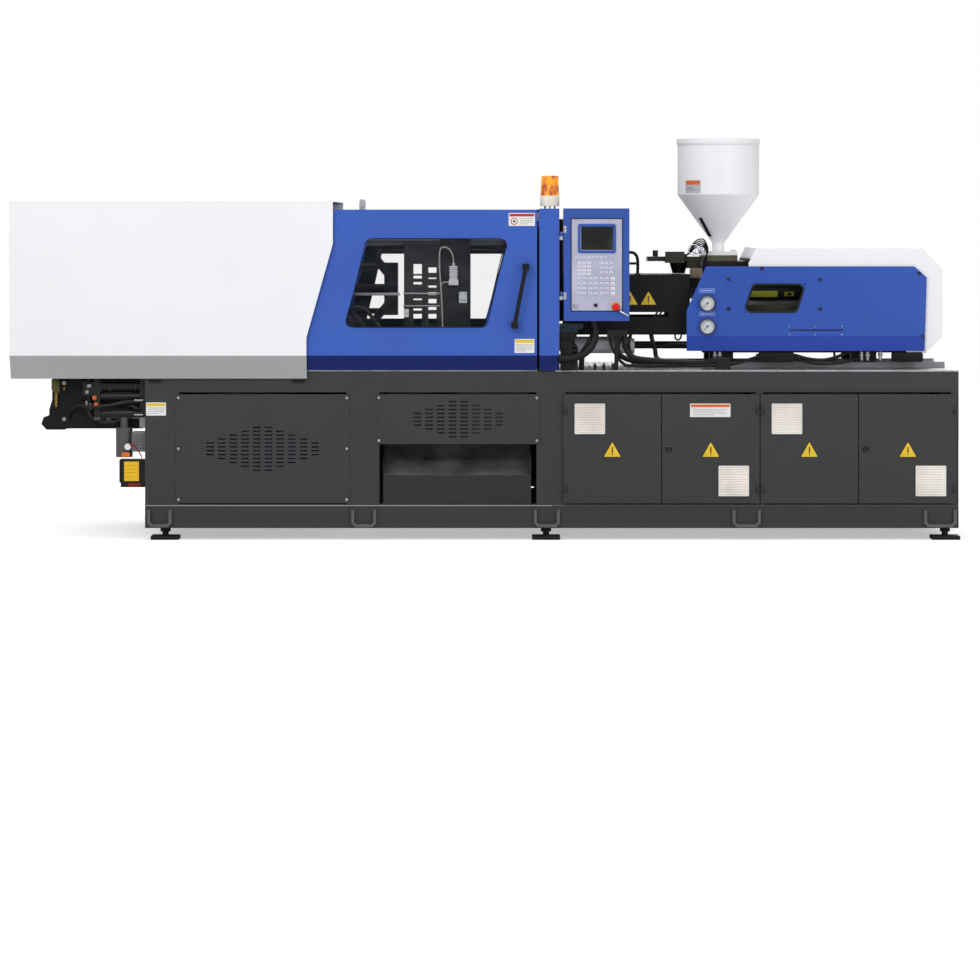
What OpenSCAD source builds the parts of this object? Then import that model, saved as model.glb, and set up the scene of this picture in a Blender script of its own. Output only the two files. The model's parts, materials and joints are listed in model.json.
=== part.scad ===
// Injection moulding machine: toggle clamp on the left, screw injection unit on the right.
// Millimetres. X runs along the machine, Y from front to back and Z up. The origin is on
// the floor, under the middle of the overall box. Front and rear guards mirror each other.

/* [Bed] */
// X of the left end of the bed
bed_left = -1710; // [-1730:5:-1700]
// Length of the bed
bed_len = 4080; // [4060:10:4120]
// Width of the bed, front to back
bed_w = 1100; // [1090:5:1110]
// Height of the top of the bed
bed_top = 845; // [840:1:850]
// Height of the top beams
beam_h = 104; // [90:2:120]
// Depth of the beams and rails
beam_d = 110; // [80:5:120]
// Height of the base rails
rail_h = 120; // [100:5:125]
// Gap between the floor and the base rails
rail_z = 60; // [50:5:65]
// Width of the levelling feet
foot_w = 140; // [100:5:160]
// Thickness of the sheet panels
sheet = 3; // [2:0.5:4]
// Thickness of the deck plate
deck_t = 6; // [4:1:10]

/* [Bed bays] */
// Width of the strip at the left end
strip_w = 155; // [140:5:170]
// Width of the louvred bay
vent_w = 870; // [850:5:890]
// Width of the pillar between the bays
pillar_w = 135; // [120:5:150]
// Width of the chute bay
chute_w = 818; // [800:2:830]
// Width of the pillar beside the cabinets
post_w = 120; // [110:2:130]
// Height of the short vent panel over the chute
short_vent_h = 250; // [230:5:260]
// Gap between cabinet doors
leaf_gap = 4.5; // [3:0.5:6]
// Depth of the cabinet doors
leaf_d = 16; // [12:1:18]
// Louvre slot width
louvre_w = 37; // [30:1:42]
// Louvre slot height
louvre_h = 7.5; // [5:0.5:9]
// Louvre pitch along X
louvre_px = 58.5; // [54:0.5:62]
// Louvre pitch along Z
louvre_pz = 19.5; // [16:0.5:22]

/* [Clamp] */
// Height of the machine axis
axis_z = 1250; // [1245:1:1255]
// X of the mould face of the fixed platen
fixed_x = 190; // [180:5:195]
// Thickness of the platens
platen_t = 150; // [140:2:152]
// Half the side of the platens
platen_s = 325; // [315:5:330]
// Opening between the platens, mould closed
daylight = 272; // [260:2:280]
// Radius of the tie bars
tie_r = 37.5; // [30:0.5:39]
// Half the tie bar spacing
tie_s = 242.5; // [240:0.5:250]
// Radius of the locating ring seat
locate_r = 62.5; // [50:0.5:70]
// Depth of the locating ring seat
locate_d = 20; // [10:1:30]
// Radius of the mould bolt holes
mould_hole_r = 8; // [6:0.5:10]
// Spacing of the mould bolt holes
mould_hole_s = 280; // [260:10:300]
// Running clearance of pins and rods, on the radius
fit = 0.06; // [0.03:0.01:0.09]
// Clearance between parts that move apart or stand face to face
gap = 0.3; // [0.3:0.05:0.6]

/* [Toggle] */
// Pivot to pivot length of the links
link_len = 206; // [204:1:208]
// Height of the outer pivots above the axis
pivot_h = 255; // [252:1:258]
// Radius of the main pins
pin_r = 22; // [18:1:24]
// Radius of the link ends
link_end = 44; // [38:1:44]
// Distance from the rear pivot to the crosshead link pivot
arm_len = 140; // [139:0.5:141]
// Angle of that pivot below the rear link
arm_drop = 35; // [34:0.5:36]
// Length of the crosshead links
cross_link = 150; // [149:0.5:151]
// Height of the crosshead pins from the axis
cross_h = 60; // [59:0.5:61]
// Radius of the clamp cylinder
clamp_r = 85; // [75:1:92]
// Length of the clamp cylinder
clamp_len = 540; // [500:10:600]

/* [Guards] */
// Distance of the door face from the machine's middle
door_y = 600; // [595:1:602]
// Distance of the clamp cover face from the machine's middle
cover_y = 620; // [618:1:625]
// Left end of the clamp cover
cover_left = -2380; // [-2400:5:-2340]
// Right end of the clamp cover at its top
cover_right = -765; // [-800:5:-750]
// Top of the clamp cover
cover_top = 1698; // [1690:1:1710]
// Left end of the sliding door
door_left = -960; // [-980:5:-940]
// Right end of the sliding door
door_right = 255; // [250:1:258]
// Top of the sliding door
door_top = 1657; // [1650:1:1662]
// Height where the lower edge bends inward
bend_z = 927; // [920:1:935]
// Bottom of the sliding door and post
door_bottom = 852; // [849:1:856]
// Depth of the folded door edges
fold_d = 30; // [20:1:34]
// How far the lower edge bends in
bend_in = 45; // [40:1:46]
// Bottom of the clamp cover
cover_bottom = 810; // [790:5:815]
// Guard post width
guard_post_w = 100; // [90:2:104]
// Radius of the handle grip
grip_r = 10; // [8:0.5:11]
// How far the handle stands off the door
grip_out = 45; // [38:1:45]

/* [Control box] */
// Left side of the box
box_left = 389; // [387:1:395]
// Width of the box
box_w = 328; // [310:2:340]
// Bottom of the box
box_bottom = 1100; // [1090:5:1110]
// Top of the box
box_top = 1663; // [1655:1:1670]
// Distance of the box front from the machine's middle
box_y = 610; // [606:1:614]
// Depth of the box
box_d = 170; // [140:5:180]
// Radius of the emergency stop head
stop_r = 20; // [16:0.5:22]

/* [Injection unit] */
// X of the hopper axis
hopper_x = 1200; // [1195:1:1205]
// Radius of the barrel
barrel_r = 52; // [46:0.5:54]
// Radius of the barrel's inside
bore_r = 22; // [18:0.5:24]
// Height of the carriage rails
rail_top = 30; // [25:1:35]
// Half the spacing of the carriage rails
rail_s = 220; // [210:2:230]
// Radius of the injection cylinders
cyl_r = 60; // [50:1:64]
// Half the spacing of the injection cylinders
cyl_s = 165; // [155:1:170]
// Stroke of the screw
shot = 180; // [160:5:190]
// Distance of the injection guard's face from the middle
inj_guard_y = 382; // [380:1:390]
// Radius of the pressure gauges
gauge_r = 40; // [34:1:42]

/* [Hopper] */
// Radius of the hopper
hopper_r = 210; // [190:2:215]
// Top of the hopper
hopper_top = 2025; // [1990:5:2040]
// Height where the cylinder turns into the cone
hopper_mid = 1736; // [1710:2:1750]
// Height where the cone ends
hopper_low = 1488; // [1470:2:1500]
// Radius of the neck
neck_r = 31; // [26:1:36]
// Side of the flange
flange_s = 186; // [170:2:196]
// Height of the fixed slide plate's underside
slide_z = 1393; // [1391:1:1396]
// Travel of the hopper over the discharge hole
hopper_travel = 190; // [180:2:200]

/* [Hidden] */
$fn = 48;

bed_right = bed_left + bed_len;
half_w = bed_w / 2;
beam_z = bed_top - beam_h;
rail_end = rail_z + rail_h;
lug_top = rail_end - 28;
panel_low = rail_end + 5;
panel_high = beam_z - 10;
vent_x = bed_left + strip_w;
pillar_x = vent_x + vent_w;
chute_x = pillar_x + pillar_w;
post_x = chute_x + chute_w;
cab_x = post_x + post_w;
leaf_w = (bed_right - 12.5 - cab_x - 3 * leaf_gap) / 4;
leaf_y = half_w + 4 + leaf_d;
vent_low = panel_high - short_vent_h;
slope_out = half_w - 5;

moving_x = fixed_x - daylight - platen_t;
pivot_c = moving_x - 58;
pivot_a = pivot_c - 2 * link_len;
knee_x = pivot_c - link_len;
tail_face = pivot_a - 106;
tail_x = tail_face - platen_t;
platen_low = axis_z - platen_s;
platen_high = axis_z + platen_s;
arm_x = pivot_a + arm_len * cos(arm_drop);
arm_h = pivot_h - arm_len * sin(arm_drop);
cross_x = arm_x + sqrt(cross_link * cross_link - (arm_h - cross_h) * (arm_h - cross_h));
guide_h = 115;
guide_r = 15;
rod_r = 25;
// Distances from the middle of the toggle's layers: crosshead, its links, rear link plates
// and front links
body_y = 58;
cross_y = [64, 86];
inner_y = [90, 115];
front_y = [120, 160];
outer_y = [165, 190];

post_l = door_right + 12;
post_r = post_l + guard_post_w;
column_y = [door_y - 90, door_y - 40];
track_y = [door_y - 52, door_y - 44];
track_z = [door_top - 57, door_top - 17];
rail_y = [door_y - 78, door_y - 58];
rail_lift = 15;
// Door window corners, left and right at the top and bottom
win_top = [-597, 105];
win_low = [-702, 2];
win_z = [1068, 1512];
win_r = 33;
stand_x = [cover_left + 20, bed_left];
stand_w = 40;

box_right = box_left + box_w;
hinge_x = box_left - 11;
hinge_y = -(box_y - 10);
fascia_x = [box_left + 34, box_right - 32];
fascia_z = [box_bottom + 47, box_top - 48];
fascia_y = -(box_y - 4);
stop_x = box_right - 68.5;
stop_z = box_bottom + 71;

deck_z = bed_top + deck_t;
rail_up = deck_z + rail_top;
base_z = rail_up + gap;
base_x = [1100, 2240];
base_top = base_z + 129;
feed_x = [hopper_x - 90, hopper_x + 100];
feed_top = slide_z - 26;
barrel_x = [300, feed_x[1] + 30];
ram_x = barrel_x[1] + 430;
ram_t = 70;
guard_x = [fixed_x + platen_t + 60, 1040];
guard_s = 250;
guard_z = [1020, 1327];
inj_x = [1015, 1114, 2169, 2231];
inj_z = [942, 1010, 1145, 1315, 1370];
hood_x = [1330, 1368, 2209, 2311];
hood_z = [936, 1013, 1353, 1463];
hood_y = [-370, 400];
gauge_x = 1120;
gauge_z = [1066, 1183];
gauge_y = -(inj_guard_y + 20);
flange_z = slide_z + 31;
beacon_x = post_l + 53;
beacon_y = -550;
beacon_z = door_top + 6;

// Solids between two limits on each axis, and round bars along each axis
module slab(x, y, z) {
  translate([x[0], y[0], z[0]]) cube([x[1] - x[0], y[1] - y[0], z[1] - z[0]]);
}
module bar_x(x, y, z, r) {
  translate([x[0], y, z]) rotate([0, 90, 0]) cylinder(r = r, h = x[1] - x[0]);
}
module bar_y(x, y, z, r) {
  translate([x, y[1], z]) rotate([90, 0, 0]) cylinder(r = r, h = y[1] - y[0]);
}
module bar_z(x, y, z, r) {
  translate([x, y, z[0]]) cylinder(r = r, h = z[1] - z[0]);
}
// Outline in X and Z, carried along Y
module front_plate(points, y) {
  translate([0, y[1], 0]) rotate([90, 0, 0]) linear_extrude(y[1] - y[0]) polygon(points);
}
// Outline in Y and Z, carried along X
module side_plate(points, x) {
  translate([x[0], 0, 0]) rotate([90, 0, 90]) linear_extrude(x[1] - x[0]) polygon(points);
}
module both_sides() {
  children();
  mirror([0, 1, 0]) children();
}
// Four bars or holes along X on a square round the machine axis
module on_square(s) {
  for (y = [-s, s], z = [axis_z - s, axis_z + s]) translate([0, y, z]) children();
}
// Outline of a tube along a smoothed route, eight sides, a ring at each point
function ring_frame(path, i) =
  let (a = path[max(i - 1, 0)], b = path[min(i + 1, len(path) - 1)], d = b - a) d / norm(d);
function ring_side(t) =
  let (u = abs(t[2]) < 0.9 ? [0, 0, 1] : [0, 1, 0], s = cross(t, u)) s / norm(s);
function bend(p0, p1, p2, p3, t) =
  0.5 * (2 * p1 + (p2 - p0) * t + (2 * p0 - 5 * p1 + 4 * p2 - p3) * t * t
    + (3 * p1 - p0 - 3 * p2 + p3) * t * t * t);
function smooth(p, steps) = concat(
  [for (i = [0:len(p) - 2], k = [0:steps - 1])
    bend(p[max(i - 1, 0)], p[i], p[i + 1], p[min(i + 2, len(p) - 1)], k / steps)],
  [p[len(p) - 1]]);
module hose(points, r) {
  path = smooth(points, 4);
  n = 8;
  rings = [for (i = [0:len(path) - 1])
    let (t = ring_frame(path, i), s = ring_side(t), w = cross(t, s))
    for (k = [0:n - 1]) path[i] + r * (cos(360 * k / n) * s + sin(360 * k / n) * w)];
  last = (len(path) - 1) * n;
  sides = [for (i = [0:len(path) - 2], k = [0:n - 1])
    [i * n + k, (i + 1) * n + k, (i + 1) * n + (k + 1) % n, i * n + (k + 1) % n]];
  ends = [[for (k = [0:n - 1]) k], [for (k = [0:n - 1]) last + n - 1 - k]];
  polyhedron(points = rings, faces = concat(sides, ends));
}

// Feet stand under these places on both rails
foot_x = [bed_left + 27 + foot_w / 2, post_x + 34, bed_right + 10 - foot_w / 2];
lug_x = [[bed_left + 12, bed_left + 135], [pillar_x + 10, chute_x], [post_x - 28, post_x + 102],
  [cab_x + 847, cab_x + 989], [bed_right - 175, bed_right - 12]];
pillars = [[bed_left, vent_x + 15], [pillar_x - 15, chute_x + 15], [post_x - 15, cab_x + 12],
  [cab_x + 2 * leaf_w - 15, cab_x + 2 * leaf_w + 25], [bed_right - 40, bed_right]];
way_y = [230, platen_s + 5];

module bed_half() {
  front = [-half_w, beam_d - half_w];
  slab([bed_left, bed_right], front, [beam_z, bed_top]);
  slab([bed_left, bed_right], front, [rail_z, rail_end]);
  for (p = pillars) slab(p, front, [rail_end, beam_z]);
  // Ways that carry the platens
  slab([tail_x - 140, cab_x], [-way_y[1], -way_y[0]], [beam_z, bed_top]);
  for (l = lug_x) lifting_lug(l);
}
module lifting_lug(x) {
  t = 15;
  c = 20;
  k = c + t * 0.414;
  low = rail_z + 5;
  front_plate([[x[0], lug_top], [x[0], low + c], [x[0] + c, low], [x[1] - c, low], [x[1], low + c],
      [x[1], lug_top], [x[1] - t, lug_top], [x[1] - t, low + k], [x[1] - k, low + t],
      [x[0] + k, low + t], [x[0] + t, low + k], [x[0] + t, lug_top]], [-half_w - 20, -half_w]);
}
module bed_frame() color([0.22, 0.22, 0.22]) {
  both_sides() bed_half();
  inner = [beam_d - half_w, half_w - beam_d];
  for (x = [[bed_left, bed_left + 100], [tail_x - 140, tail_x - 20], [post_x - 10, cab_x],
      [bed_right - 100, bed_right]]) {
    slab(x, inner, [beam_z, bed_top]);
    slab(x, inner, [rail_z, rail_end]);
  }
  // End sheets of the bed
  slab([bed_left, bed_left + sheet], inner, [rail_end, beam_z]);
  slab([bed_right - sheet, bed_right], inner, [rail_end, beam_z]);
}
module levelling_feet() color([0.15, 0.15, 0.16]) both_sides() for (x = foot_x) {
  y = beam_d / 2 + 15 - half_w;
  slab([x - foot_w / 2, x + foot_w / 2], [y - 60, y + 60], [0, 18]);
  bar_z(x, y, [18, rail_z], 16);
  translate([x, y, rail_z - 22]) cylinder(r = 26, h = 18, $fn = 6);
}
module bed_deck() color([0.62, 0.63, 0.64]) {
  slab([cab_x - 40, bed_right], [-half_w, half_w], [bed_top, deck_z]);
}

// Diamond of louvre slots, counts gives the slots in each column
module louvres(x, z, counts, y) {
  for (i = [0:len(counts) - 1], k = [0:counts[i] - 1]) {
    cx = x + (i - (len(counts) - 1) / 2) * louvre_px;
    cz = z + (k - (counts[i] - 1) / 2) * louvre_pz;
    slab([cx - louvre_w / 2, cx + louvre_w / 2], y, [cz - louvre_h / 2, cz + louvre_h / 2]);
  }
}
module vent_panels() {
  color([0.25, 0.25, 0.25]) vent_sheets();
  color([0.75, 0.75, 0.77]) panel_screws();
}
module vent_sheets() {
  y = [-half_w - sheet, -half_w];
  cut = [y[0] - 1, y[1] + 1];
  difference() {
    slab([vent_x, pillar_x], y, [panel_low, panel_high]);
    louvres((vent_x + pillar_x) / 2, (panel_low + panel_high) / 2,
      [4, 6, 8, 10, 12, 12, 10, 8, 6, 4], cut);
  }
  difference() {
    slab([chute_x, post_x], y, [vent_low, panel_high]);
    louvres((chute_x + post_x) / 2 + 2, (vent_low + panel_high) / 2,
      [4, 6, 8, 10, 10, 8, 6, 4], cut);
  }
}
module rear_panels() color([0.25, 0.25, 0.25]) {
  y = [half_w, half_w + sheet];
  for (x = [[vent_x, pillar_x], [chute_x, post_x], [cab_x, cab_x + 2 * leaf_w],
      [cab_x + 2 * leaf_w + 10, bed_right - 12]]) difference() {
    slab(x, y, [panel_low, panel_high]);
    louvres((x[0] + x[1]) / 2, panel_high - 90, [4, 4, 4, 4, 4, 4], [y[0] - 1, y[1] + 1]);
  }
}
// Round-headed screws that hold the louvred panels
module panel_screws() {
  y = [-half_w - sheet - 5, -half_w - sheet];
  for (x = [vent_x + 13, pillar_x - 13], z = [panel_low + 18, (panel_low + panel_high) / 2,
      panel_high - 18]) bar_y(x, y, z, 9);
  for (x = [chute_x + 13, post_x - 13], z = [vent_low + 18, panel_high - 18]) bar_y(x, y, z, 9);
}
// One folded sheet: a slope from the mould down to the front, and a lip that hangs from it
module drop_chute() color([0.3, 0.3, 0.31]) {
  x = [chute_x + 35, post_x - 42];
  lip_z = panel_low + 140;
  y = -slope_out;
  top = [way_y[0] - 8, beam_z - 8];
  side_plate([[y, panel_low], [y + sheet, panel_low], [y + sheet, lip_z - 1],
    [top[0], top[1] - sheet], [top[0], top[1]], [y, lip_z]], x);
  for (s = [[x[0], x[0] + sheet], [x[1] - sheet, x[1]]])
    side_plate([[y, lip_z - 20], [top[0], top[1] - 20], [top[0], beam_z - gap],
      [y + 120, lip_z + 140], [y, lip_z + 60]], s);
  // Hangers that hold the sheet on the ways
  for (s = [[x[0], x[0] + 33], [x[1] - 33, x[1]]])
    slab(s, [way_y[0] - 12, way_y[0] + 20], [top[1] - 12, beam_z]);
  slab(x, [y, beam_d - half_w], [rail_end, panel_low]);
}

module oil_tank() color([0.2, 0.3, 0.5]) {
  difference() {
    slab([vent_x + 60, pillar_x - 60], [-380, 380], [rail_end, 500]);
    slab([vent_x + 66, pillar_x - 66], [-374, 374], [rail_end + 6, 494]);
  }
}
module pump_motor() color([0.4, 0.42, 0.44]) {
  x = vent_x + 120;
  for (s = [x + 60, x + 300]) slab([s, s + 60], [-90, 90], [500, 545]);
  bar_x([x, x + 420], 0, 630, 95);
  bar_x([x + 420, x + 460], 0, 630, 70);
  bar_x([x + 460, x + 600], 0, 630, 52);
  slab([x + 150, x + 250], [-120, -80], [600, 660]);
}
// Drive, contactors and transformer on mounting plates behind the cabinet doors
gear_w = 920;
gear_y = -220;
module electrical_gear() color([0.75, 0.76, 0.72]) {
  for (i = [0, 1]) {
    x = i == 0 ? cab_x : bed_right - gear_w - 100;
    slab([x, x + gear_w], [gear_y, gear_y + 6], [rail_end, beam_z]);
    for (k = [0:4]) slab([x + 60 + k * 90, x + 130 + k * 90], [gear_y - 80, gear_y], [560, 650]);
    for (k = [0:2]) slab([x + 60 + k * 150, x + 180 + k * 150], [gear_y - 120, gear_y], [330, 480]);
    slab([x + 560, x + gear_w - 100], [gear_y - 160, gear_y], [300, 640]);
    slab([x + 40, x + gear_w - 100], [gear_y - 40, gear_y], [250, 290]);
  }
}
// Cooler, valve and motor on a bracket at the left end of the bed
cooler_y = -470;
module oil_cooler() color([0.35, 0.36, 0.37]) {
  x = bed_left - 170;
  y = cooler_y;
  slab([bed_left - 32, bed_left - gap], [y - 30, y + 30], [560, 805]);
  bar_x([x - 60, bed_left - 32], y, 770, 30);
  bar_x([x - 60, bed_left - 32], y, 716, 22);
  bar_x([x - 60, bed_left - 32], y, 630, 25);
  for (r = [x - 60, x - 20, bed_left - 60]) bar_x([r, r + 12], y, 770, 38);
  slab([x - 90, x - 60], [y - 32, y + 32], [600, 805]);
  slab([x - 150, x - 90], [y - 24, y + 24], [720, 790]);
  bar_z(x - 120, y, [690, 720], 12);
  bar_z(x - 120, y, [790, 804], 10);
  // Motor with its gauge and cap, and the finned box beside it
  bar_z(bed_left - 112, y, [412, 560], 42);
  bar_z(bed_left - 112, y, [560, 612], 20);
  bar_y(bed_left - 90, [y - 50, y - 40], 466, 11);
  slab([bed_left - 66, bed_left - gap], [y - 40, y + 40], [440, 540]);
  for (k = [0:5]) slab([bed_left - 72, bed_left - gap], [y - 46, y + 46],
    [445 + k * 17, 450 + k * 17]);
}
// Black valve housing with an upturned lip, open to the rear and hung from the cover's stand
housing_x = [cover_left + 174, bed_left - 25];
housing_y = [cooler_y + 45, cooler_y + 245];
housing_z = [552, 802];
module valve_housing() {
  x = housing_x;
  z = housing_z;
  difference() {
    front_plate([[x[0] - 13, z[0] - 6], [x[0] + 79, z[0] - 6], [x[0] + 79, z[0]], [x[1], z[0]],
      [x[1], z[1]], [x[0] + 15, z[1]], [x[0] + 15, z[1] - 104], [x[0], z[1] - 154],
      [x[0], z[0] + 60], [x[0] - 29, z[0] + 56], [x[0] - 40, z[0] + 22]], housing_y);
    slab([x[0] + 23, x[1] - 8], [housing_y[0] + 4, housing_y[1] + 1], [z[0] + 8, z[1] - 8]);
  }
  // Hangers over the cooler, up to the cover's stand
  for (k = [x[0] + 60, x[1] - 90]) {
    slab([k, k + 36], [housing_y[0], housing_y[0] + 30], [z[1] - 6, z[1] + 12]);
    slab([k, k + 36], [cooler_y - 6, housing_y[0] + 30], [z[1], z[1] + 12]);
    slab([k, k + 36], [cooler_y - 6, cooler_y + 24], [z[1], bed_top]);
  }
}
module lubricator() color([0.1, 0.1, 0.1]) {
  y = cooler_y;
  slab([bed_left - 132, bed_left - gap], [y - 50, y + 50], [286, 400]);
  slab([bed_left - 126, bed_left - 6], [y - 44, y + 44], [262, 286]);
  slab([bed_left - 118, bed_left - 36], [y - 54, y - 50], [292, 388]);
}

module cover_frame() {
  color([0.3, 0.3, 0.31]) cover_stand();
  color([0.08, 0.08, 0.09]) valve_housing();
}
module cover_stand() {
  out = cover_y - sheet;
  both_sides() slab([stand_x[0], bed_left + 150], [440, 480], [bed_top, bed_top + 40]);
  for (x = stand_x) {
    s = [x, x + stand_w];
    both_sides() slab(s, [440, 480], [bed_top + 40, bend_z + 4]);
    slab(s, [-out, out], [bend_z + 4, bend_z + 44]);
    both_sides() slab(s, [out - 76, out], [bend_z + 44, cover_top - sheet - 40]);
    slab(s, [-out, out], [cover_top - sheet - 40, cover_top - sheet]);
  }
  // Clips under the cover
  both_sides() for (x = [bed_left + 20, bed_left + 740])
    slab([x, x + 60], [half_w, half_w + 14], [bed_top - 52, bed_top - 40]);
}
// One half of the clamp cover: face, half a roof, half an end and the lower edge bent in
module clamp_cover() {
  y = [-cover_y, sheet - cover_y];
  x = [cover_left, cover_right];
  notch = x[1] - 132;
  low = [-(cover_y - bend_in - 10), cover_bottom];
  front_plate([[x[0], bend_z], [notch, bend_z], [notch, bend_z + 90], [x[1], 1485],
    [x[1], cover_top], [x[0], cover_top]], y);
  slab(x, [-cover_y, -1], [cover_top - sheet, cover_top]);
  slab([x[0], x[0] + sheet], [-cover_y, -1], [bend_z, cover_top]);
  side_plate([[y[0], bend_z], [low[0], low[1]], [low[0] + sheet, low[1]], [y[1], bend_z]],
    [x[0], notch]);
  front_plate([[x[0], bend_z], [x[0] + sheet, bend_z], [x[0] + 26, low[1]],
    [x[0] + 23, low[1]]], [low[0], -1]);
}
module clamp_cover_front() color([0.95, 0.95, 0.96]) clamp_cover();
module clamp_cover_rear() color([0.95, 0.95, 0.96]) mirror([0, 1, 0]) clamp_cover();

// Face with its lower edge bent inward, between two X limits
module bent_edge(x) {
  side_plate([[-door_y, bend_z], [bend_in - door_y, door_bottom],
    [bend_in - door_y + sheet, door_bottom], [sheet - door_y, bend_z]], x);
}
module guard_posts() color([0.26, 0.41, 0.77]) both_sides() {
  x = [post_l, post_r];
  back = fold_d + 10 - door_y;
  slab(x, [-door_y, sheet - door_y], [bend_z, door_top + 5]);
  slab(x, [-door_y, back], [door_top + 5 - sheet, door_top + 5]);
  for (s = [[x[0], x[0] + sheet], [x[1] - sheet, x[1]]])
    slab(s, [-door_y, back], [bend_z, door_top + 5]);
  bent_edge(x);
  slab([x[0] + 10, x[1] - 10], [-column_y[1], -column_y[0]], [bed_top + deck_t, door_top + 5]);
  slab([fixed_x + platen_t - 50, fixed_x + platen_t - 10], [-column_y[0], -platen_s],
    [axis_z + 180, axis_z + 220]);
}
module door_tracks() {
  color([0.55, 0.56, 0.58]) both_sides() track_pair();
  color([0.12, 0.12, 0.13]) limit_switch();
}
module track_pair() {
  x = [stand_x[1] + stand_w, post_l + 10];
  slab(x, [-track_y[1], -track_y[0]], track_z);
  slab([x[0], x[1] - 20], [-rail_y[1], -rail_y[0]], [bed_top, bed_top + rail_lift]);
}
module limit_switch() {
  x = -620;
  y = -track_y[1];
  z = track_z[1];
  slab([x - 15, x + 15], [y - 2, y + 40], [z + 12, z + 60]);
  slab([x - 12, x + 12], [y + 12, y + 30], [z + 60, z + 68]);
  slab([x - 10, x + 10], [y + 8 + gap, y + 14], [track_z[0], z + 12]);
}
module beacon_base() color([0.85, 0.83, 0.75]) {
  difference() {
    union() {
      bar_z(beacon_x, beacon_y, [beacon_z + 12, beacon_z + 62], 44);
      for (a = [30, 150, 270]) translate([beacon_x, beacon_y, beacon_z - 1]) rotate([0, 0, a])
        translate([28, 0, 0]) cylinder(r = 5, h = 13);
    }
    bar_z(beacon_x, beacon_y, [beacon_z + 54, beacon_z + 70], 38);
  }
  bar_z(beacon_x, beacon_y, [beacon_z + 54, beacon_z + 92], 6);
  bar_z(beacon_x, beacon_y, [beacon_z + 92, beacon_z + 122], 9);
}
module beacon_lens() color([1, 0.45, 0.05, 0.6]) {
  z = beacon_z + 62 + gap;
  translate([beacon_x, beacon_y, z]) rotate_extrude() polygon([[35, -7], [37.6, -7], [37.6, 0],
    [44, 0], [44, 78], [38, 98], [0, 102], [0, 99], [36.4, 95.4], [41, 77], [41, 3], [35, 3]]);
}
module beacon_reflector() color([0.9, 0.9, 0.92]) {
  difference() {
    bar_z(beacon_x, beacon_y, [beacon_z + 72, beacon_z + 84], 14);
    bar_z(beacon_x, beacon_y, [beacon_z + 70, beacon_z + 86], 6 + fit);
  }
  translate([beacon_x, beacon_y, beacon_z + 84]) rotate_extrude(angle = 150)
    polygon([[12, 0], [14, 0], [30, 48], [28, 48]]);
}

// Mould mounting holes on a square
module mould_holes(x) {
  for (y = [-1, 1], z = [-1, 1])
    bar_x(x, y * mould_hole_s / 2, axis_z + z * mould_hole_s / 2, mould_hole_r);
}
module platen_body(x, hole) {
  difference() {
    union() {
      slab(x, [-platen_s, platen_s], [platen_low, platen_high]);
      both_sides() slab([x[0], x[1]], [-platen_s, -way_y[0] - 5], [bed_top + gap, platen_low]);
    }
    on_square(tie_s) bar_x([x[0] - 1, x[1] + 1], 0, 0, hole);
  }
}
module fixed_platen() color([0.2, 0.22, 0.25]) {
  x = [fixed_x, fixed_x + platen_t];
  difference() {
    platen_body(x, tie_r + fit);
    bar_x([x[0] - 1, x[0] + locate_d], 0, axis_z, locate_r);
    bar_x([x[0], x[1]], 0, axis_z, 34);
    bar_x([x[0] + locate_d + 20, x[1] + 1], 0, axis_z, barrel_r + 12);
    mould_holes([x[0] - 1, x[0] + 45]);
  }
}
module tie_bars() color([0.8, 0.81, 0.83]) {
  on_square(tie_s) {
    bar_x([tail_x - 150, fixed_x + platen_t + 50], 0, 0, tie_r);
    difference() {
      translate([fixed_x + platen_t + gap, 0, 0]) rotate([0, 90, 0])
        cylinder(r = 58, h = 45, $fn = 6);
      bar_x([fixed_x, fixed_x + platen_t + 80], 0, 0, tie_r - 1);
    }
  }
}
module pivot_ear(x, px, h, layer, hole) {
  end = [min(x, px), max(x, px)];
  difference() {
    union() {
      slab(end, layer, [h - link_end, h + link_end]);
      bar_y(px, layer, h, link_end);
    }
    bar_y(px, [layer[0] - 1, layer[1] + 1], h, hole);
  }
}
pivot_zs = [axis_z - pivot_h, axis_z + pivot_h];
module tail_platen() color([0.2, 0.22, 0.25]) {
  difference() {
    platen_body([tail_x, tail_face], tie_r + fit);
    bar_x([tail_x - 1, tail_face + 1], 0, axis_z, rod_r + fit);
    for (z = [-guide_h, guide_h]) bar_x([tail_x - 1, tail_face + 1], 0, axis_z + z, guide_r + fit);
  }
  // Ears bolted on, and the pins that the rear links turn on
  both_sides() for (z = pivot_zs) pivot_ear(tail_face + gap, pivot_a, z, front_y, pin_r + fit);
  both_sides() for (z = pivot_zs) bar_y(pivot_a, [inner_y[0] - 2, outer_y[1] + 2], z, pin_r);
}
module adjusting_nuts() color([0.45, 0.45, 0.46]) {
  x = tail_x - gap;
  difference() {
    on_square(tie_s) {
      bar_x([x - 60, x], 0, 0, 58);
      bar_x([x - 50, x - 30], 0, 0, 82);
    }
    on_square(tie_s) bar_x([x - 70, x + 1], 0, 0, tie_r + fit);
  }
  // Chain that turns the four nuts together
  translate([x - 34, 0, axis_z]) rotate([90, 0, -90]) linear_extrude(12) difference() {
    hull() for (y = [-tie_s, tie_s], z = [-tie_s, tie_s]) translate([y, z]) circle(92, $fn = 32);
    hull() for (y = [-tie_s, tie_s], z = [-tie_s, tie_s]) translate([y, z]) circle(82.3, $fn = 32);
  }
}
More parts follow.
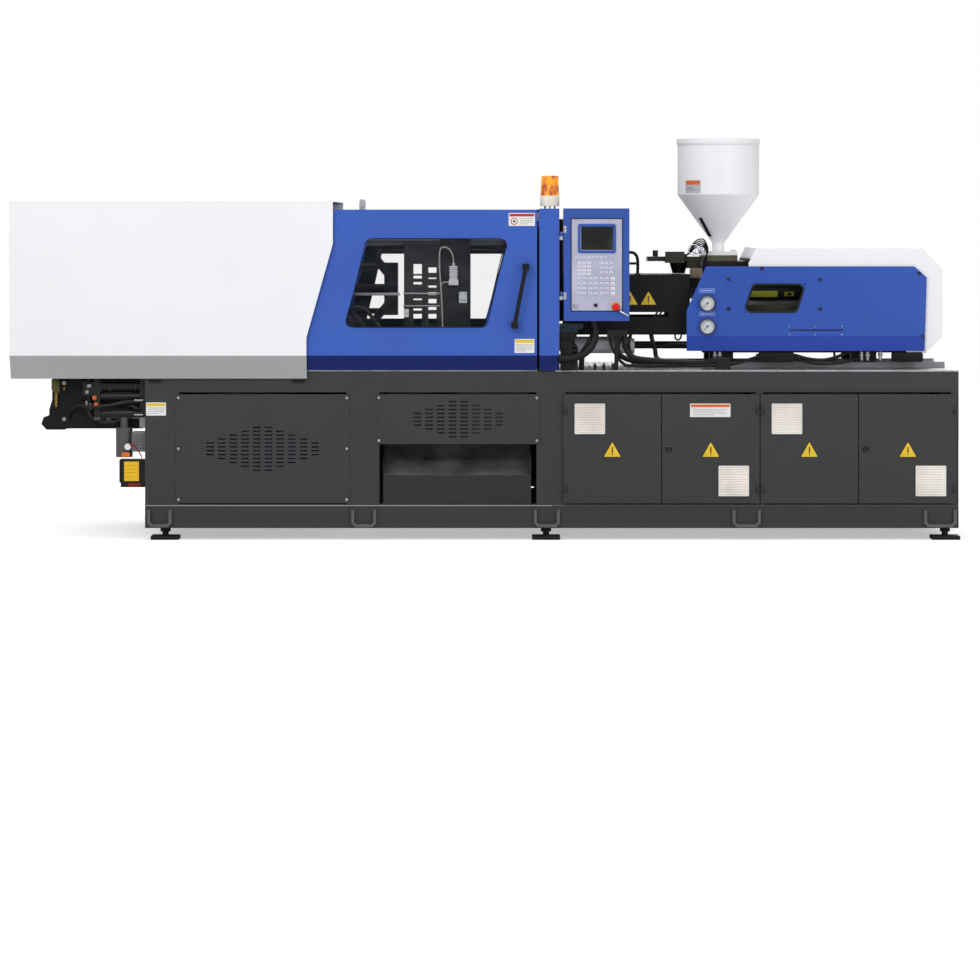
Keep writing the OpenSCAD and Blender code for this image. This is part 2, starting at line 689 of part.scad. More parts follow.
module clamp_cylinder() color([0.15, 0.3, 0.55]) {
  x = [tail_x - gap - clamp_len, tail_x - gap];
  difference() {
    union() {
      bar_x(x, 0, axis_z, clamp_r);
      for (e = [x[0], x[1] - 40])
        slab([e, e + 40], [-clamp_r - 8, clamp_r + 8], [axis_z - clamp_r - 8, axis_z + clamp_r + 8]);
    }
    bar_x([x[0] + 40, x[1] - 40], 0, axis_z, clamp_r - 15);
    bar_x([x[1] - 41, x[1] + 1], 0, axis_z, rod_r + fit);
    for (z = [-guide_h, guide_h]) bar_x([x[0] - 1, x[1] + 1], 0, axis_z + z, guide_r + 4);
  }
}
module moving_platen() color([0.2, 0.22, 0.25]) {
  x = [moving_x, moving_x + platen_t];
  difference() {
    platen_body(x, tie_r + fit);
    bar_x([x[0] - 1, x[0] + 90], 0, axis_z, 70);
    bar_x([x[0] + 89, x[1] + 1], 0, axis_z, 20 + fit);
    mould_holes([x[1] - 45, x[1] + 1]);
  }
  both_sides() for (z = pivot_zs, l = [inner_y, outer_y]) pivot_ear(moving_x, pivot_c, z, l,
    pin_r + fit);
  // Pins that the front links turn on
  both_sides() for (z = pivot_zs) bar_y(pivot_c, [inner_y[0] - 2, outer_y[1] + 2], z, pin_r);
}
module ejector_rod() color([0.8, 0.8, 0.82]) {
  bar_x([moving_x + 12, moving_x + platen_t - 6], 0, axis_z, 20);
  bar_x([moving_x + 2, moving_x + 12], 0, axis_z, 55);
}
// Pair of plates with the pivot at both ends, s is 1 for the upper and -1 for the lower set
module link_plate(from, to, h, layer, hole) {
  difference() {
    union() {
      slab([from, to], layer, [h - 30, h + 30]);
      bar_y(from, layer, h, link_end);
      bar_y(to, layer, h, link_end - 4);
    }
    bar_y(from, [layer[0] - 1, layer[1] + 1], h, hole);
  }
}
module rear_link(s) {
  h = axis_z + s * pivot_h;
  d = axis_z + s * arm_h;
  both_sides() {
    difference() {
      union() {
        link_plate(pivot_a, knee_x, h, inner_y, pin_r + fit);
        bar_y(arm_x, inner_y, d, 26);
        front_plate([[pivot_a + 30, h - s * 26], [knee_x - 30, h - s * 26], [arm_x + 22, d],
          [arm_x - 22, d]], inner_y);
      }
      bar_y(pivot_a, [inner_y[0] - 1, inner_y[1] + 1], h, pin_r + fit);
    }
    link_plate(pivot_a, knee_x, h, outer_y, pin_r + fit);
    // Knee pin, open in the middle where the front link passes, and the arm's pin
    bar_y(knee_x, [inner_y[1], front_y[0] - gap], h, pin_r);
    bar_y(knee_x, [front_y[1] + gap, outer_y[0]], h, pin_r);
    bar_y(arm_x, [cross_y[1] + gap, inner_y[0]], d, 14);
  }
}
module rear_link_upper() color([0.5, 0.5, 0.52]) rear_link(1);
module rear_link_lower() color([0.5, 0.5, 0.52]) rear_link(-1);
module front_link(s) {
  h = axis_z + s * pivot_h;
  both_sides() difference() {
    union() {
      slab([knee_x, pivot_c], front_y, [h - 30, h + 30]);
      bar_y(knee_x, front_y, h, link_end - 4);
      bar_y(pivot_c, front_y, h, link_end);
    }
    bar_y(pivot_c, [front_y[0] - 1, front_y[1] + 1], h, pin_r + fit);
  }
}
module front_link_upper() color([0.55, 0.55, 0.57]) front_link(1);
module front_link_lower() color([0.55, 0.55, 0.57]) front_link(-1);
module crosshead() color([0.35, 0.36, 0.38]) {
  x = [cross_x - 35, cross_x + 35];
  tall = guide_h + 20;
  slab(x, [-body_y, body_y], [axis_z - tall, axis_z + tall]);
  for (z = [-guide_h, guide_h]) bar_x([tail_x - 160, x[0]], 0, axis_z + z, guide_r);
  bar_x([tail_x - 180, x[0]], 0, axis_z, rod_r);
  bar_x([tail_x - 180, tail_x - 140], 0, axis_z, clamp_r - 15 - fit);
  both_sides() for (z = [-cross_h, cross_h]) bar_y(cross_x, [body_y, cross_y[1] + 2], axis_z + z, 14);
}
module cross_link_plate(s) {
  e = [cross_x, axis_z + s * cross_h];
  d = [arm_x, axis_z + s * arm_h];
  along = (d - e) / norm(d - e);
  side = 20 * [-along[1], along[0]];
  both_sides() difference() {
    union() {
      front_plate([e + side, d + side, d - side, e - side], cross_y);
      bar_y(e[0], cross_y, e[1], 26);
      bar_y(d[0], cross_y, d[1], 24);
    }
    bar_y(e[0], [cross_y[0] - 1, cross_y[1] + 1], e[1], 14 + fit);
  }
}
module cross_link_upper() color([0.6, 0.6, 0.62]) cross_link_plate(1);
module cross_link_lower() color([0.6, 0.6, 0.62]) cross_link_plate(-1);

// Window outline, grown outward by g
module window_shape(g, y) {
  dx = win_r - g;
  points = [[win_low[0] + win_r, win_z[0] + win_r], [win_low[1] - win_r, win_z[0] + win_r],
    [win_top[1] - win_r, win_z[1] - win_r], [win_top[0] + win_r, win_z[1] - win_r]];
  translate([0, y[1], 0]) rotate([90, 0, 0]) linear_extrude(y[1] - y[0])
    hull() for (p = points) translate(p) circle(win_r + g, $fn = 32);
}
module sliding_door() {
  x = [door_left, door_right];
  face = [-door_y, sheet - door_y];
  back = fold_d - door_y;
  difference() {
    slab(x, face, [bend_z, door_top]);
    window_shape(0, [face[0] - 1, face[1] + 1]);
  }
  slab(x, [-door_y, back], [door_top - sheet, door_top]);
  for (s = [[x[0], x[0] + sheet], [x[1] - sheet, x[1]]])
    slab(s, [-door_y, back], [bend_z, door_top]);
  bent_edge(x);
  // Slide shoes on the lower rail and hooks over the upper track
  shoe = bed_top + rail_lift + gap;
  hook = track_z[1] + gap;
  out = -(track_y[1] + gap);
  in = -(track_y[0] - gap);
  for (s = [x[0] + 30, x[1] - 120]) {
    side_plate([[4 - door_y + (bend_z - shoe - 34) * bend_in / (bend_z - door_bottom), shoe + 34],
      [-rail_y[0], shoe + 34], [-rail_y[0], shoe],
      [2 - door_y + (bend_z - shoe) * bend_in / (bend_z - door_bottom), shoe]], [s, s + 90]);
    side_plate([[sheet - door_y, hook + 8], [sheet - door_y, track_z[0] + 10],
      [out, track_z[0] + 10], [out, hook], [in, hook], [in, track_z[0] + 10],
      [in + 8, track_z[0] + 10], [in + 8, hook + 8]], [s, s + 60]);
  }
  // Slanted grip on two blocks
  top = [door_right - 56, door_top - 287];
  low = [door_right - 112, door_top - 577];
  grip_y = -(door_y + grip_out);
  tilt = atan2(top[0] - low[0], top[1] - low[1]);
  translate([low[0], grip_y, low[1]]) rotate([0, tilt, 0])
    cylinder(r = grip_r, h = norm(top - low));
  for (e = [low, top])
    slab([e[0] - 17, e[0] + 17], [grip_y - 9, -door_y], [e[1] - 17, e[1] + 17]);
}
module front_door() color([0.26, 0.41, 0.77]) sliding_door();
module rear_door() color([0.26, 0.41, 0.77]) mirror([0, 1, 0]) sliding_door();
module front_window() color([0.8, 0.85, 0.9, 0.3]) {
  window_shape(20, [sheet - door_y, sheet - door_y + 5]);
}
module rear_window() color([0.8, 0.85, 0.9, 0.3]) mirror([0, 1, 0]) {
  window_shape(20, [sheet - door_y, sheet - door_y + 5]);
}

// Knuckle heights of the control box hinges and of the cabinet hinges
box_hinges = [box_bottom + 105, box_top - 158];
leaf_hinges = [panel_low + 55, panel_high - 96];
knuckle_h = 18;
module control_box() color([0.26, 0.41, 0.77]) {
  x = [box_left, box_right];
  y = [-box_y, box_d - box_y];
  z = [box_bottom, box_top];
  difference() {
    slab(x, y, z);
    slab([x[0] + sheet, x[1] - sheet], [y[0] + 12, y[1] - sheet], [z[0] + sheet, z[1] - sheet]);
    slab(fascia_x, [y[0] - 1, y[0] + 20], fascia_z);
  }
  // Hinge knuckles
  for (h = box_hinges) difference() {
    union() {
      bar_z(hinge_x, hinge_y, [h + knuckle_h + gap, h + 2 * knuckle_h], 8);
      slab([hinge_x, x[0]], [hinge_y - 3, hinge_y + 3], [h + knuckle_h + gap, h + 2 * knuckle_h]);
    }
    bar_z(hinge_x, hinge_y, [h, h + 60], 4 + fit);
  }
  // Gland under the box
  bar_z(box_left + 150, -(box_y - 80), [z[0] - 30, z[0]], 22);
}
module key_block(x, z, nx, nz, w, h, px, pz) {
  for (i = [0:nx - 1], k = [0:nz - 1])
    slab([x + i * px, x + i * px + w], [fascia_y - 1.5, fascia_y], [z + k * pz, z + k * pz + h]);
}
module control_fascia() color([0.78, 0.78, 0.87]) {
  x = fascia_x;
  z = fascia_z;
  y = fascia_y;
  difference() {
    slab([x[0] + gap, x[1] - gap], [y, y + 8], [z[0] + gap, z[1] - gap]);
    bar_y(stop_x, [y - 1, y + 9], stop_z, 12);
  }
  // Screen frame, keys and the collar of the stop button
  difference() {
    slab([x[0] + 37, x[1] - 36], [y - 4, y], [z[1] - 175, z[1] - 30]);
    slab([x[0] + 52, x[1] - 49], [y - 5, y - 2], [z[1] - 160, z[1] - 42]);
  }
  key_block(x[0] + 20, z[1] - 205, 8, 1, 15, 14, 21, 20);
  key_block(x[0] + 35, z[1] - 287, 3, 4, 18, 13, 24, 18);
  key_block(x[0] + 148, z[1] - 283, 3, 3, 17, 17, 23, 23);
  for (p = [0:2]) key_block(x[0] + 33 + 56 * p, z[1] - 387, 2, 4, 20, 17, 25, 24.5);
  key_block(x[0] + 201, z[1] - 387, 1, 4, 20, 17, 25, 24.5);
  difference() {
    bar_y(stop_x, [y - 8, y], stop_z, 17);
    bar_y(stop_x, [y - 9, y + 1], stop_z, 12);
  }
  bar_y(x[0] + 20, [y - 12, y], stop_z + 6, 8);
  bar_y(x[0] + 125, [y - 12, y], stop_z + 8, 8);
}
module stop_button() color([0.8, 0.08, 0.06]) {
  y = fascia_y;
  bar_y(stop_x, [y - 16, y + 14], stop_z, 11);
  bar_y(stop_x, [y - 34, y - 16], stop_z, stop_r);
  bar_y(stop_x, [y + 14, y + 18], stop_z, 18);
}
// Pins and fixed knuckles of the box and cabinet hinges. side is 1 where the leaf hangs
// from its left edge
function leaf_x(i) = cab_x + i * (leaf_w + leaf_gap);
function leaf_side(i) = i % 2 == 0 ? 1 : -1;
function pin_x(i) = leaf_x(i) + (i % 2 == 0 ? 9 : leaf_w - 9);
module hinge_pins() color([0.8, 0.8, 0.82]) {
  for (h = box_hinges) {
    bar_z(hinge_x, hinge_y, [h + knuckle_h / 2, h + 2 * knuckle_h + 4], 4);
    bar_z(hinge_x, hinge_y, [h, h + knuckle_h], 8);
    slab([post_r, hinge_x], [hinge_y + 1, hinge_y + 6], [h, h + knuckle_h]);
  }
  for (i = [0:3], h = leaf_hinges) {
    x = pin_x(i);
    s = leaf_side(i);
    out = x - s * 10.6;
    bar_z(x, -leaf_y - 8, [h + knuckle_h / 2, h + 2 * knuckle_h + 3], 3.5);
    bar_z(x, -leaf_y - 8, [h, h + knuckle_h], 7);
    slab([min(x, out), max(x, out)], [-leaf_y - 10, -leaf_y - 6], [h, h + knuckle_h]);
    slab([min(out, out + s), max(out, out + s)], [-leaf_y - 10, -half_w], [h, h + knuckle_h]);
  }
}
// Service lines and blocks under the control box and along the deck
module service_hoses() color([0.09, 0.09, 0.1]) {
  x = post_r + 8;
  slab([x, x + 85], [-565, -470], [deck_z, deck_z + 118]);
  slab([x + 10, x + 70], [-560, -480], [deck_z + 118, deck_z + 170]);
  slab([x, x + 80], [-560, -480], [deck_z + 170, deck_z + 218]);
  hose([[box_left + 150, -530, box_bottom - 31], [box_left + 148, -530, 1030],
    [box_left + 120, -532, 975], [box_left + 95, -525, 930], [box_left + 90, -520, deck_z + 1]], 14);
  hose([[box_left + 235, -540, 1040], [box_left + 238, -540, 985], [box_left + 262, -530, 930],
    [box_left + 300, -510, 885], [box_left + 360, -500, 872], [1160, -460, 872]], 8);
  hose([[box_left + 305, -500, 1020], [box_left + 312, -500, 960], [box_left + 350, -495, 915],
    [box_left + 450, -490, 900], [box_left + 600, -480, 890], [1160, -430, 880]], 13);
  slab([1160, 1230], [-480, -410], [deck_z, deck_z + 60]);
  slab([box_left + 220, box_left + 320], [-555, -480], [1020, 1052]);
  slab([box_left + 256, box_left + 276], [-530, -500], [deck_z, 1020]);
  for (k = [0:2]) slab([box_left + 150 + k * 45, box_left + 165 + k * 45], [-548, -530],
    [deck_z, deck_z + 30]);
}

module cabinet_door(i) {
  x = [leaf_x(i), leaf_x(i) + leaf_w];
  y = [-leaf_y, leaf_d - leaf_y];
  z = [panel_low, panel_high];
  s = leaf_side(i);
  mid = (x[0] + x[1]) / 2;
  // The grille is above the middle on leaves hung from the left, and below it on the others
  g = [x[s > 0 ? 0 : 1] + s * 135, s > 0 ? z[1] - 120 : z[0] + 115];
  difference() {
    slab(x, y, z);
    slab([x[0] + sheet, x[1] - sheet], [y[0] + sheet, y[1] + 1], [z[0] + sheet, z[1] - sheet]);
    slab([g[0] - 62, g[0] + 62], [y[0] - 1, y[1]], [g[1] - 62, g[1] + 62]);
    if (s < 0) bar_y(x[0] + 33, [y[0] - 1, y[1]], latch_z, 11);
  }
  // Grille frame and blades
  difference() {
    slab([g[0] - 74, g[0] + 74], [y[0] - 5, y[0]], [g[1] - 74, g[1] + 74]);
    slab([g[0] - 62, g[0] + 62], [y[0] - 6, y[0] + 1], [g[1] - 62, g[1] + 62]);
  }
  for (k = [0:9]) side_plate([[y[0] - 3, g[1] - 60 + k * 12.4], [y[0] - 1, g[1] - 60 + k * 12.4],
    [y[0] + 7, g[1] - 51 + k * 12.4], [y[0] + 5, g[1] - 51 + k * 12.4]], [g[0] - 62, g[0] + 62]);
  // Knuckles
  for (h = leaf_hinges) difference() {
    union() {
      bar_z(pin_x(i), -leaf_y - 8, [h + knuckle_h + gap, h + 2 * knuckle_h], 7);
      slab([pin_x(i) - 6, pin_x(i) + 6], [-leaf_y - 8, -leaf_y],
        [h + knuckle_h + gap, h + 2 * knuckle_h]);
    }
    bar_z(pin_x(i), -leaf_y - 8, [h, h + 60], 3.5 + fit);
  }
}
latch_z = (panel_low + panel_high) / 2;
module cabinet_door_1() color([0.27, 0.27, 0.27]) cabinet_door(0);
module cabinet_door_2() color([0.27, 0.27, 0.27]) cabinet_door(1);
module cabinet_door_3() color([0.27, 0.27, 0.27]) cabinet_door(2);
module cabinet_door_4() color([0.27, 0.27, 0.27]) cabinet_door(3);
// Quarter-turn latches in doors 2 and 4
module door_latch(i) color([0.7, 0.7, 0.72]) {
  x = leaf_x(i) + 33;
  bar_y(x, [-leaf_y - 6, -leaf_y + 20], latch_z, 11 - fit);
  bar_y(x, [-leaf_y - 6, -leaf_y - gap], latch_z, 17);
  slab([x - 5, x + 5], [-leaf_y - 11, -leaf_y - 6], [latch_z - 15, latch_z + 15]);
}

module door_latch_2() door_latch(1);
module door_latch_4() door_latch(3);

module carriage_rails() color([0.6, 0.6, 0.62]) {
  both_sides() slab([760, bed_right - 30], [-rail_s - 20, 20 - rail_s], [deck_z, rail_up]);
  // Carriage cylinders, held on the fixed platen
  both_sides() difference() {
    union() {
      bar_x([fixed_x + platen_t + gap, fixed_x + platen_t + 40], -150, 960, 24);
      bar_x([fixed_x + platen_t + 40, fixed_x + platen_t + 420], -150, 960, 38);
    }
    bar_x([fixed_x + platen_t + 52, fixed_x + platen_t + 408], -150, 960, 30);
    bar_x([fixed_x + platen_t + 400, fixed_x + platen_t + 421], -150, 960, 14 + fit);
  }
}
module carriage_base() color([0.22, 0.25, 0.3]) {
  for (x = [[base_x[0] + 40, base_x[0] + 160], [base_x[1] - 380, base_x[1] - 250]]) {
    both_sides() slab(x, [-rail_s - 35, 35 - rail_s], [base_z, base_z + 49]);
    slab(x, [-290, 290], [base_z + 49, base_top]);
  }
  both_sides() slab(base_x, [-290, -230], [base_z + 49, base_top]);
  // Feed block that holds the barrel, with the throat under the hopper
  difference() {
    union() {
      slab(feed_x, [-110, 110], [base_top - 80, feed_top]);
      slab([feed_x[1] - 40, barrel_x[1]], [-240, 240], [base_top - 80, feed_top]);
      slab([hopper_x - 84, hopper_x + 149], [-115, 115], [feed_top, slide_z]);
    }
    bar_x([feed_x[0] - 1, barrel_x[1] + 1], 0, axis_z, barrel_r + fit);
    bar_z(hopper_x, 0, [axis_z, slide_z + 1], 25);
  }
  // Injection cylinders
  both_sides() difference() {
    bar_x([barrel_x[1], ram_x - 60], -cyl_s, axis_z, cyl_r);
    bar_x([barrel_x[1] + 20, ram_x - 80], -cyl_s, axis_z, cyl_r - 10);
    bar_x([ram_x - 81, ram_x - 59], -cyl_s, axis_z, rod_r + fit);
  }
  // Rods that push the carriage, and tabs for the guards
  both_sides() {
    bar_x([fixed_x + platen_t + 130, base_x[0] + 40], -150, 960, 14);
    bar_x([fixed_x + platen_t + 110, fixed_x + platen_t + 130], -150, 960, 30 - fit);
  }
  for (x = [base_x[0] + 60, base_x[1] - 180])
    slab([x, x + 50], [2 - inj_guard_y, -290], [base_top - 40, base_top - 20]);
  for (x = [base_x[0] + 260, base_x[1] - 160])
    slab([x, x + 50], [290, hood_y[1] - sheet], [base_top - 40, base_top - 20]);
}
module barrel() color([0.3, 0.28, 0.27]) {
  x = barrel_x;
  difference() {
    union() {
      bar_x(x, 0, axis_z, barrel_r);
      translate([x[0] - 60, 0, axis_z]) rotate([0, 90, 0]) cylinder(r1 = 22, r2 = barrel_r - 6, h = 60);
      bar_x([fixed_x + 28, x[0] - 60], 0, axis_z, 22);
    }
    bar_x([x[0], x[1] + 1], 0, axis_z, bore_r + fit);
    bar_x([fixed_x, x[0] + 1], 0, axis_z, 3);
    bar_z(hopper_x, 0, [axis_z, axis_z + barrel_r + 1], 25);
  }
  // Heater bands with their terminal boxes
  for (b = [420, 580, 740, 900]) {
    difference() {
      bar_x([b, b + 130], 0, axis_z, barrel_r + 10);
      bar_x([b - 1, b + 131], 0, axis_z, barrel_r);
    }
    slab([b + 40, b + 90], [-15, 15], [axis_z - barrel_r - 32, axis_z - barrel_r - 9]);
  }
}
module barrel_guard() color([0.09, 0.1, 0.1]) {
  x = guard_x;
  slot = [guard_z[1] - 216, guard_z[1] - 192];
  difference() {
    slab(x, [-guard_s, guard_s], guard_z);
    slab([x[0] - 1, x[1] + 1], [sheet - guard_s, guard_s - sheet], [guard_z[0] - 1, guard_z[1] - sheet]);
    slab([x[0] + 10, x[1] - 108], [-guard_s - 1, guard_s + 1], slot);
  }
  // Tabs to the feed block
  both_sides() {
    slab([x[1] - 30, feed_x[0]], [-109, -103], [guard_z[1] - 60, guard_z[1] - sheet]);
    slab([feed_x[0] - 10, feed_x[0]], [-109, -80], [guard_z[1] - 60, guard_z[1] - sheet]);
  }
}
module injection_guard() color([0.17, 0.34, 0.7]) {
  y = [-inj_guard_y, 2 - inj_guard_y];
  difference() {
    front_plate([[inj_x[0], inj_z[0]], [inj_x[3] - 11, inj_z[0]], [inj_x[3], inj_z[3]],
      [inj_x[2], inj_z[4]], [inj_x[1], inj_z[4]], [inj_x[0], inj_z[2]]], y);
    front_plate([[1301, 1136], [1574, 1136], [1620, 1282], [1351, 1282]], [y[0] - 1, y[1] + 1]);
    slab([1537, 1806], [y[0] - 1, y[1] + 1], [1044, 1050]);
  }
  // Screws
  for (p = [[1228, 1306], [1228, 1156], [1691, 1303], [1691, 1154], [1396, 1360], [2192, 1334],
      [2212, 1018]]) bar_y(p[0], [y[0] - 4, y[0]], p[1], 8);
  // Pressure gauges: an open case with a spindle that the needle turns on
  for (z = gauge_z) {
    difference() {
      bar_y(gauge_x, [gauge_y, y[0]], z, gauge_r);
      bar_y(gauge_x, [gauge_y - 1, y[0] - 4], z, gauge_r - 4);
    }
    bar_y(gauge_x, [gauge_y + 6, y[0]], z, 2);
    slab([gauge_x - 38, gauge_x + 36], [y[0] - 2, y[0]], [z + gauge_r + 14, z + gauge_r + 34]);
  }
}
// Needle at its zero, to the lower left of the dial
module gauge_needle(z) color([0.1, 0.1, 0.1]) {
  y = [gauge_y + 7, gauge_y + 9];
  difference() {
    translate([gauge_x, 0, z]) rotate([0, -135, 0]) union() {
      bar_y(0, [y[0], y[1] + 2], 0, 5);
      slab([-1.2, 1.2], y, [-12, gauge_r - 11]);
    }
    bar_y(gauge_x, [y[0] - 1, y[1] + 3], z, 2 + fit);
  }
}
module gauge_needle_upper() gauge_needle(gauge_z[1]);
module gauge_needle_lower() gauge_needle(gauge_z[0]);
module injection_hood() color([0.95, 0.95, 0.96]) {
  x = hood_x;
  z = hood_z;
  t = sheet;
  outline = [[x[0], z[3] - 76], [x[1], z[3]], [x[2], z[3]], [x[3], z[2]], [x[3], z[1]],
    [x[3] - 82, z[0]], [x[0], z[0]]];
  inside = [[x[0] - 9, z[3] - 90], [x[1] + 2, z[3] - t], [x[2] - 1, z[3] - t],
    [x[3] - t, z[2] - 1], [x[3] - t, z[1] + 1], [x[3] - 83, z[0] - 9], [x[0] - 9, z[0] - 9]];
  difference() {
    front_plate(outline, hood_y);
    front_plate(inside, [hood_y[0] + t, hood_y[1] - t]);
    // Opening behind the blue guard, for access to the unit
    slab([x[0] - 1, x[2] - 80], [hood_y[0] - 1, hood_y[0] + t + 1], [z[0] - 1, 1340]);
  }
}
module injection_ram() color([0.2, 0.22, 0.25]) {
  x = ram_x;
  difference() {
    slab([x, x + ram_t], [-240, 240], [axis_z - 90, axis_z + 90]);
    bar_x([x - 1, x + ram_t - 10], 0, axis_z, bore_r + 6 + fit);
  }
  both_sides() {
    bar_x([x - shot - 100, x], -cyl_s, axis_z, rod_r);
    bar_x([x - shot - 120, x - shot - 100], -cyl_s, axis_z, cyl_r - 10 - fit);
  }
  bar_x([x + ram_t, x + ram_t + 230], 0, axis_z, 88);
  for (y = [-60, 60]) bar_z(x + ram_t + 190, y, [axis_z + 60, axis_z + 110], 18);
}
// Screw with a raised flight, its shank turned by the ram's motor
module screw() color([0.7, 0.7, 0.72]) {
  bar_x([barrel_x[0] + 6, ram_x - 10], 0, axis_z, bore_r - 7);
  bar_x([feed_x[1] + 40, ram_x - 10], 0, axis_z, bore_r);
  bar_x([ram_x - 10, ram_x + ram_t - 11], 0, axis_z, bore_r + 6);
  translate([barrel_x[0] + 20, 0, axis_z]) rotate([0, 90, 0])
    linear_extrude(960, twist = -360 * 12, slices = 96, $fn = 8) translate([8, 0])
      circle(bore_r - 9, $fn = 8);
}
// Hopper of thin sheet with its lid, sight slot and flange, and the base that slides
module hopper() color([0.96, 0.96, 0.97]) {
  z = [slide_z, flange_z, hopper_low, hopper_mid, hopper_top];
  t = 2;
  translate([hopper_x, 0, 0]) rotate_extrude() polygon([[neck_r, z[1]], [neck_r, z[2]],
    [hopper_r, z[3]], [hopper_r, z[4] - 6], [hopper_r - t, z[4] - 6], [hopper_r - t, z[3] + 1],
    [neck_r - t, z[2] + 1], [neck_r - t, z[1]]]);
  // Lid
  translate([hopper_x, 0, 0]) rotate_extrude() polygon([[0, z[4] - 6 + gap], [hopper_r + 3, z[4] - 6 + gap],
    [hopper_r + 3, z[4] - 26], [hopper_r + 5, z[4] - 26], [hopper_r + 5, z[4] - 2], [0, z[4]]]);
  f = flange_s / 2;
  difference() {
    union() {
      slab([hopper_x - f, hopper_x + f], [-f, f], [z[1], z[1] + 21]);
      slab([hopper_x - f, hopper_x + f], [-105, 105], [z[0] + gap, z[1]]);
    }
    bar_z(hopper_x, 0, [z[0] - 1, z[1] + 22], neck_r - t);
    slab([hopper_x - f - 1, hopper_x + f + 1], [-80 - gap, 80 + gap], [z[0] - 1, z[0] + 24 + gap]);
  }
}
// Fixed plate the hopper slides on, with the throat, the discharge hole and its funnel
module slide_plate() color([0.5, 0.48, 0.42]) {
  x = [832, hopper_x + 93];
  d = hopper_x - hopper_travel - 15;
  z = slide_z;
  difference() {
    slab(x, [-80, 80], [z, z + 24]);
    bar_z(hopper_x, 0, [z - 1, z + 25], 25);
    bar_z(d, 0, [z - 1, z + 25], 25);
  }
  translate([d, 0, 0]) rotate_extrude() polygon([[25, z], [50, z], [32, z - 62], [28, z - 62]]);
  bar_z(x[0] + 43, 0, [z + 24, z + 56], 14);
  slab([hopper_x - 280, hopper_x - 182], [-150, -60], [z - 8, z]);
  slab([hopper_x - 280, hopper_x - 182], [-150, -108], [z, z + 50]);
  slab([hopper_x - 166, hopper_x - 94], [-70, -10], [z - 36, z]);
  slab([hopper_x - 135, hopper_x - 94], [-70, -10], [z - 88, z - 36]);
}

bed_frame();
levelling_feet();
bed_deck();
vent_panels();
rear_panels();
drop_chute();
oil_tank();
pump_motor();
electrical_gear();
oil_cooler();
lubricator();
cover_frame();
clamp_cover_front();
clamp_cover_rear();
guard_posts();
door_tracks();
beacon_base();
beacon_lens();
beacon_reflector();
fixed_platen();
tie_bars();
tail_platen();
adjusting_nuts();
clamp_cylinder();
moving_platen();
ejector_rod();
rear_link_upper();
rear_link_lower();
front_link_upper();
front_link_lower();
crosshead();
cross_link_upper();
cross_link_lower();
front_door();
front_window();
rear_door();
rear_window();
control_box();
control_fascia();
stop_button();
hinge_pins();
service_hoses();
cabinet_door_1();
cabinet_door_2();
cabinet_door_3();
cabinet_door_4();
door_latch_2();
door_latch_4();
carriage_rails();
carriage_base();
barrel();
barrel_guard();
injection_guard();
gauge_needle_upper();
gauge_needle_lower();
injection_hood();
injection_ram();
screw();
hopper();
slide_plate();
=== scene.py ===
# %% [markdown]
# # An injection moulding machine, dressed for its picture
# The machine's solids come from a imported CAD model, which is the frame here: every platen, link, door and
# cabinet is in its place already, and moves as its joints say. What Blender adds is what the eye looks for
# on a real machine: paint with a grain, worn edges, dusty tops, plates, keys, screws, dials and hoses. The
# frame could be imported and moved about by hand, but then the moving parts would part from their joints.

# %% Load the frame
import json

import bpy
import numpy as np
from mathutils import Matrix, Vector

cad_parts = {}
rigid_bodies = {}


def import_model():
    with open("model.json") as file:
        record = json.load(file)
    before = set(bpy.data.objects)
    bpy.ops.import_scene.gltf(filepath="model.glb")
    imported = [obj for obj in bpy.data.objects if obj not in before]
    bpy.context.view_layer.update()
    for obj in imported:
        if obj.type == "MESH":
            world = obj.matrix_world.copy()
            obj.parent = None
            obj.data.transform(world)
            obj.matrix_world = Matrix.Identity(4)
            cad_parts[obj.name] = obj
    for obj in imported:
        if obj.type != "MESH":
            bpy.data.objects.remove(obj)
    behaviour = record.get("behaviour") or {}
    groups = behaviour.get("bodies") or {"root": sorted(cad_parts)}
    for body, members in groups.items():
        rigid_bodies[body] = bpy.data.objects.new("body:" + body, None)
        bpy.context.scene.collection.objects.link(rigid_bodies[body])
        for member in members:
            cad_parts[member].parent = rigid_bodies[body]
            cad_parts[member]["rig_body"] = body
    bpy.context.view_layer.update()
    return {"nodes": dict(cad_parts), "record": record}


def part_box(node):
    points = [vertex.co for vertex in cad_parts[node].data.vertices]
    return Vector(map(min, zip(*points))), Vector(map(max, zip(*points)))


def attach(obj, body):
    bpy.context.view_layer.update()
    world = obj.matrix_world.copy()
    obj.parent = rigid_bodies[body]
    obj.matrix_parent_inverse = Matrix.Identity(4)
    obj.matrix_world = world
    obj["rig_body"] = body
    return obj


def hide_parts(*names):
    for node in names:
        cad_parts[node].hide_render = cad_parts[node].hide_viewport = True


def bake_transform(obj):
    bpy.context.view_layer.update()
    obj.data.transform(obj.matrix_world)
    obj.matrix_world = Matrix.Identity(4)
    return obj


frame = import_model()

# %% [markdown]
# ## The view
# The picture was taken from straight in front, a long way off, with the machine low in a square frame:
# the horizon lies on the hopper, yet upright edges stay upright. Tilting a camera down would make them
# lean together, so it looks level and its lens is shifted, as an architect's camera does.

# %% Camera
EYE = (0.02, -18.1, 1.595)
LENS = 128.57
SHIFT = -0.2735
camera_data = bpy.data.cameras.new("camera")
camera_data.lens = LENS
camera_data.shift_y = SHIFT
camera_data.clip_end = 200
camera = bpy.data.objects.new("camera", camera_data)
camera.location = EYE
camera.rotation_euler = (np.pi / 2, 0, 0)
bpy.context.scene.collection.objects.link(camera)
bpy.context.scene.camera = camera
bpy.context.scene.view_settings.view_transform = "Standard"
print("camera at", EYE)

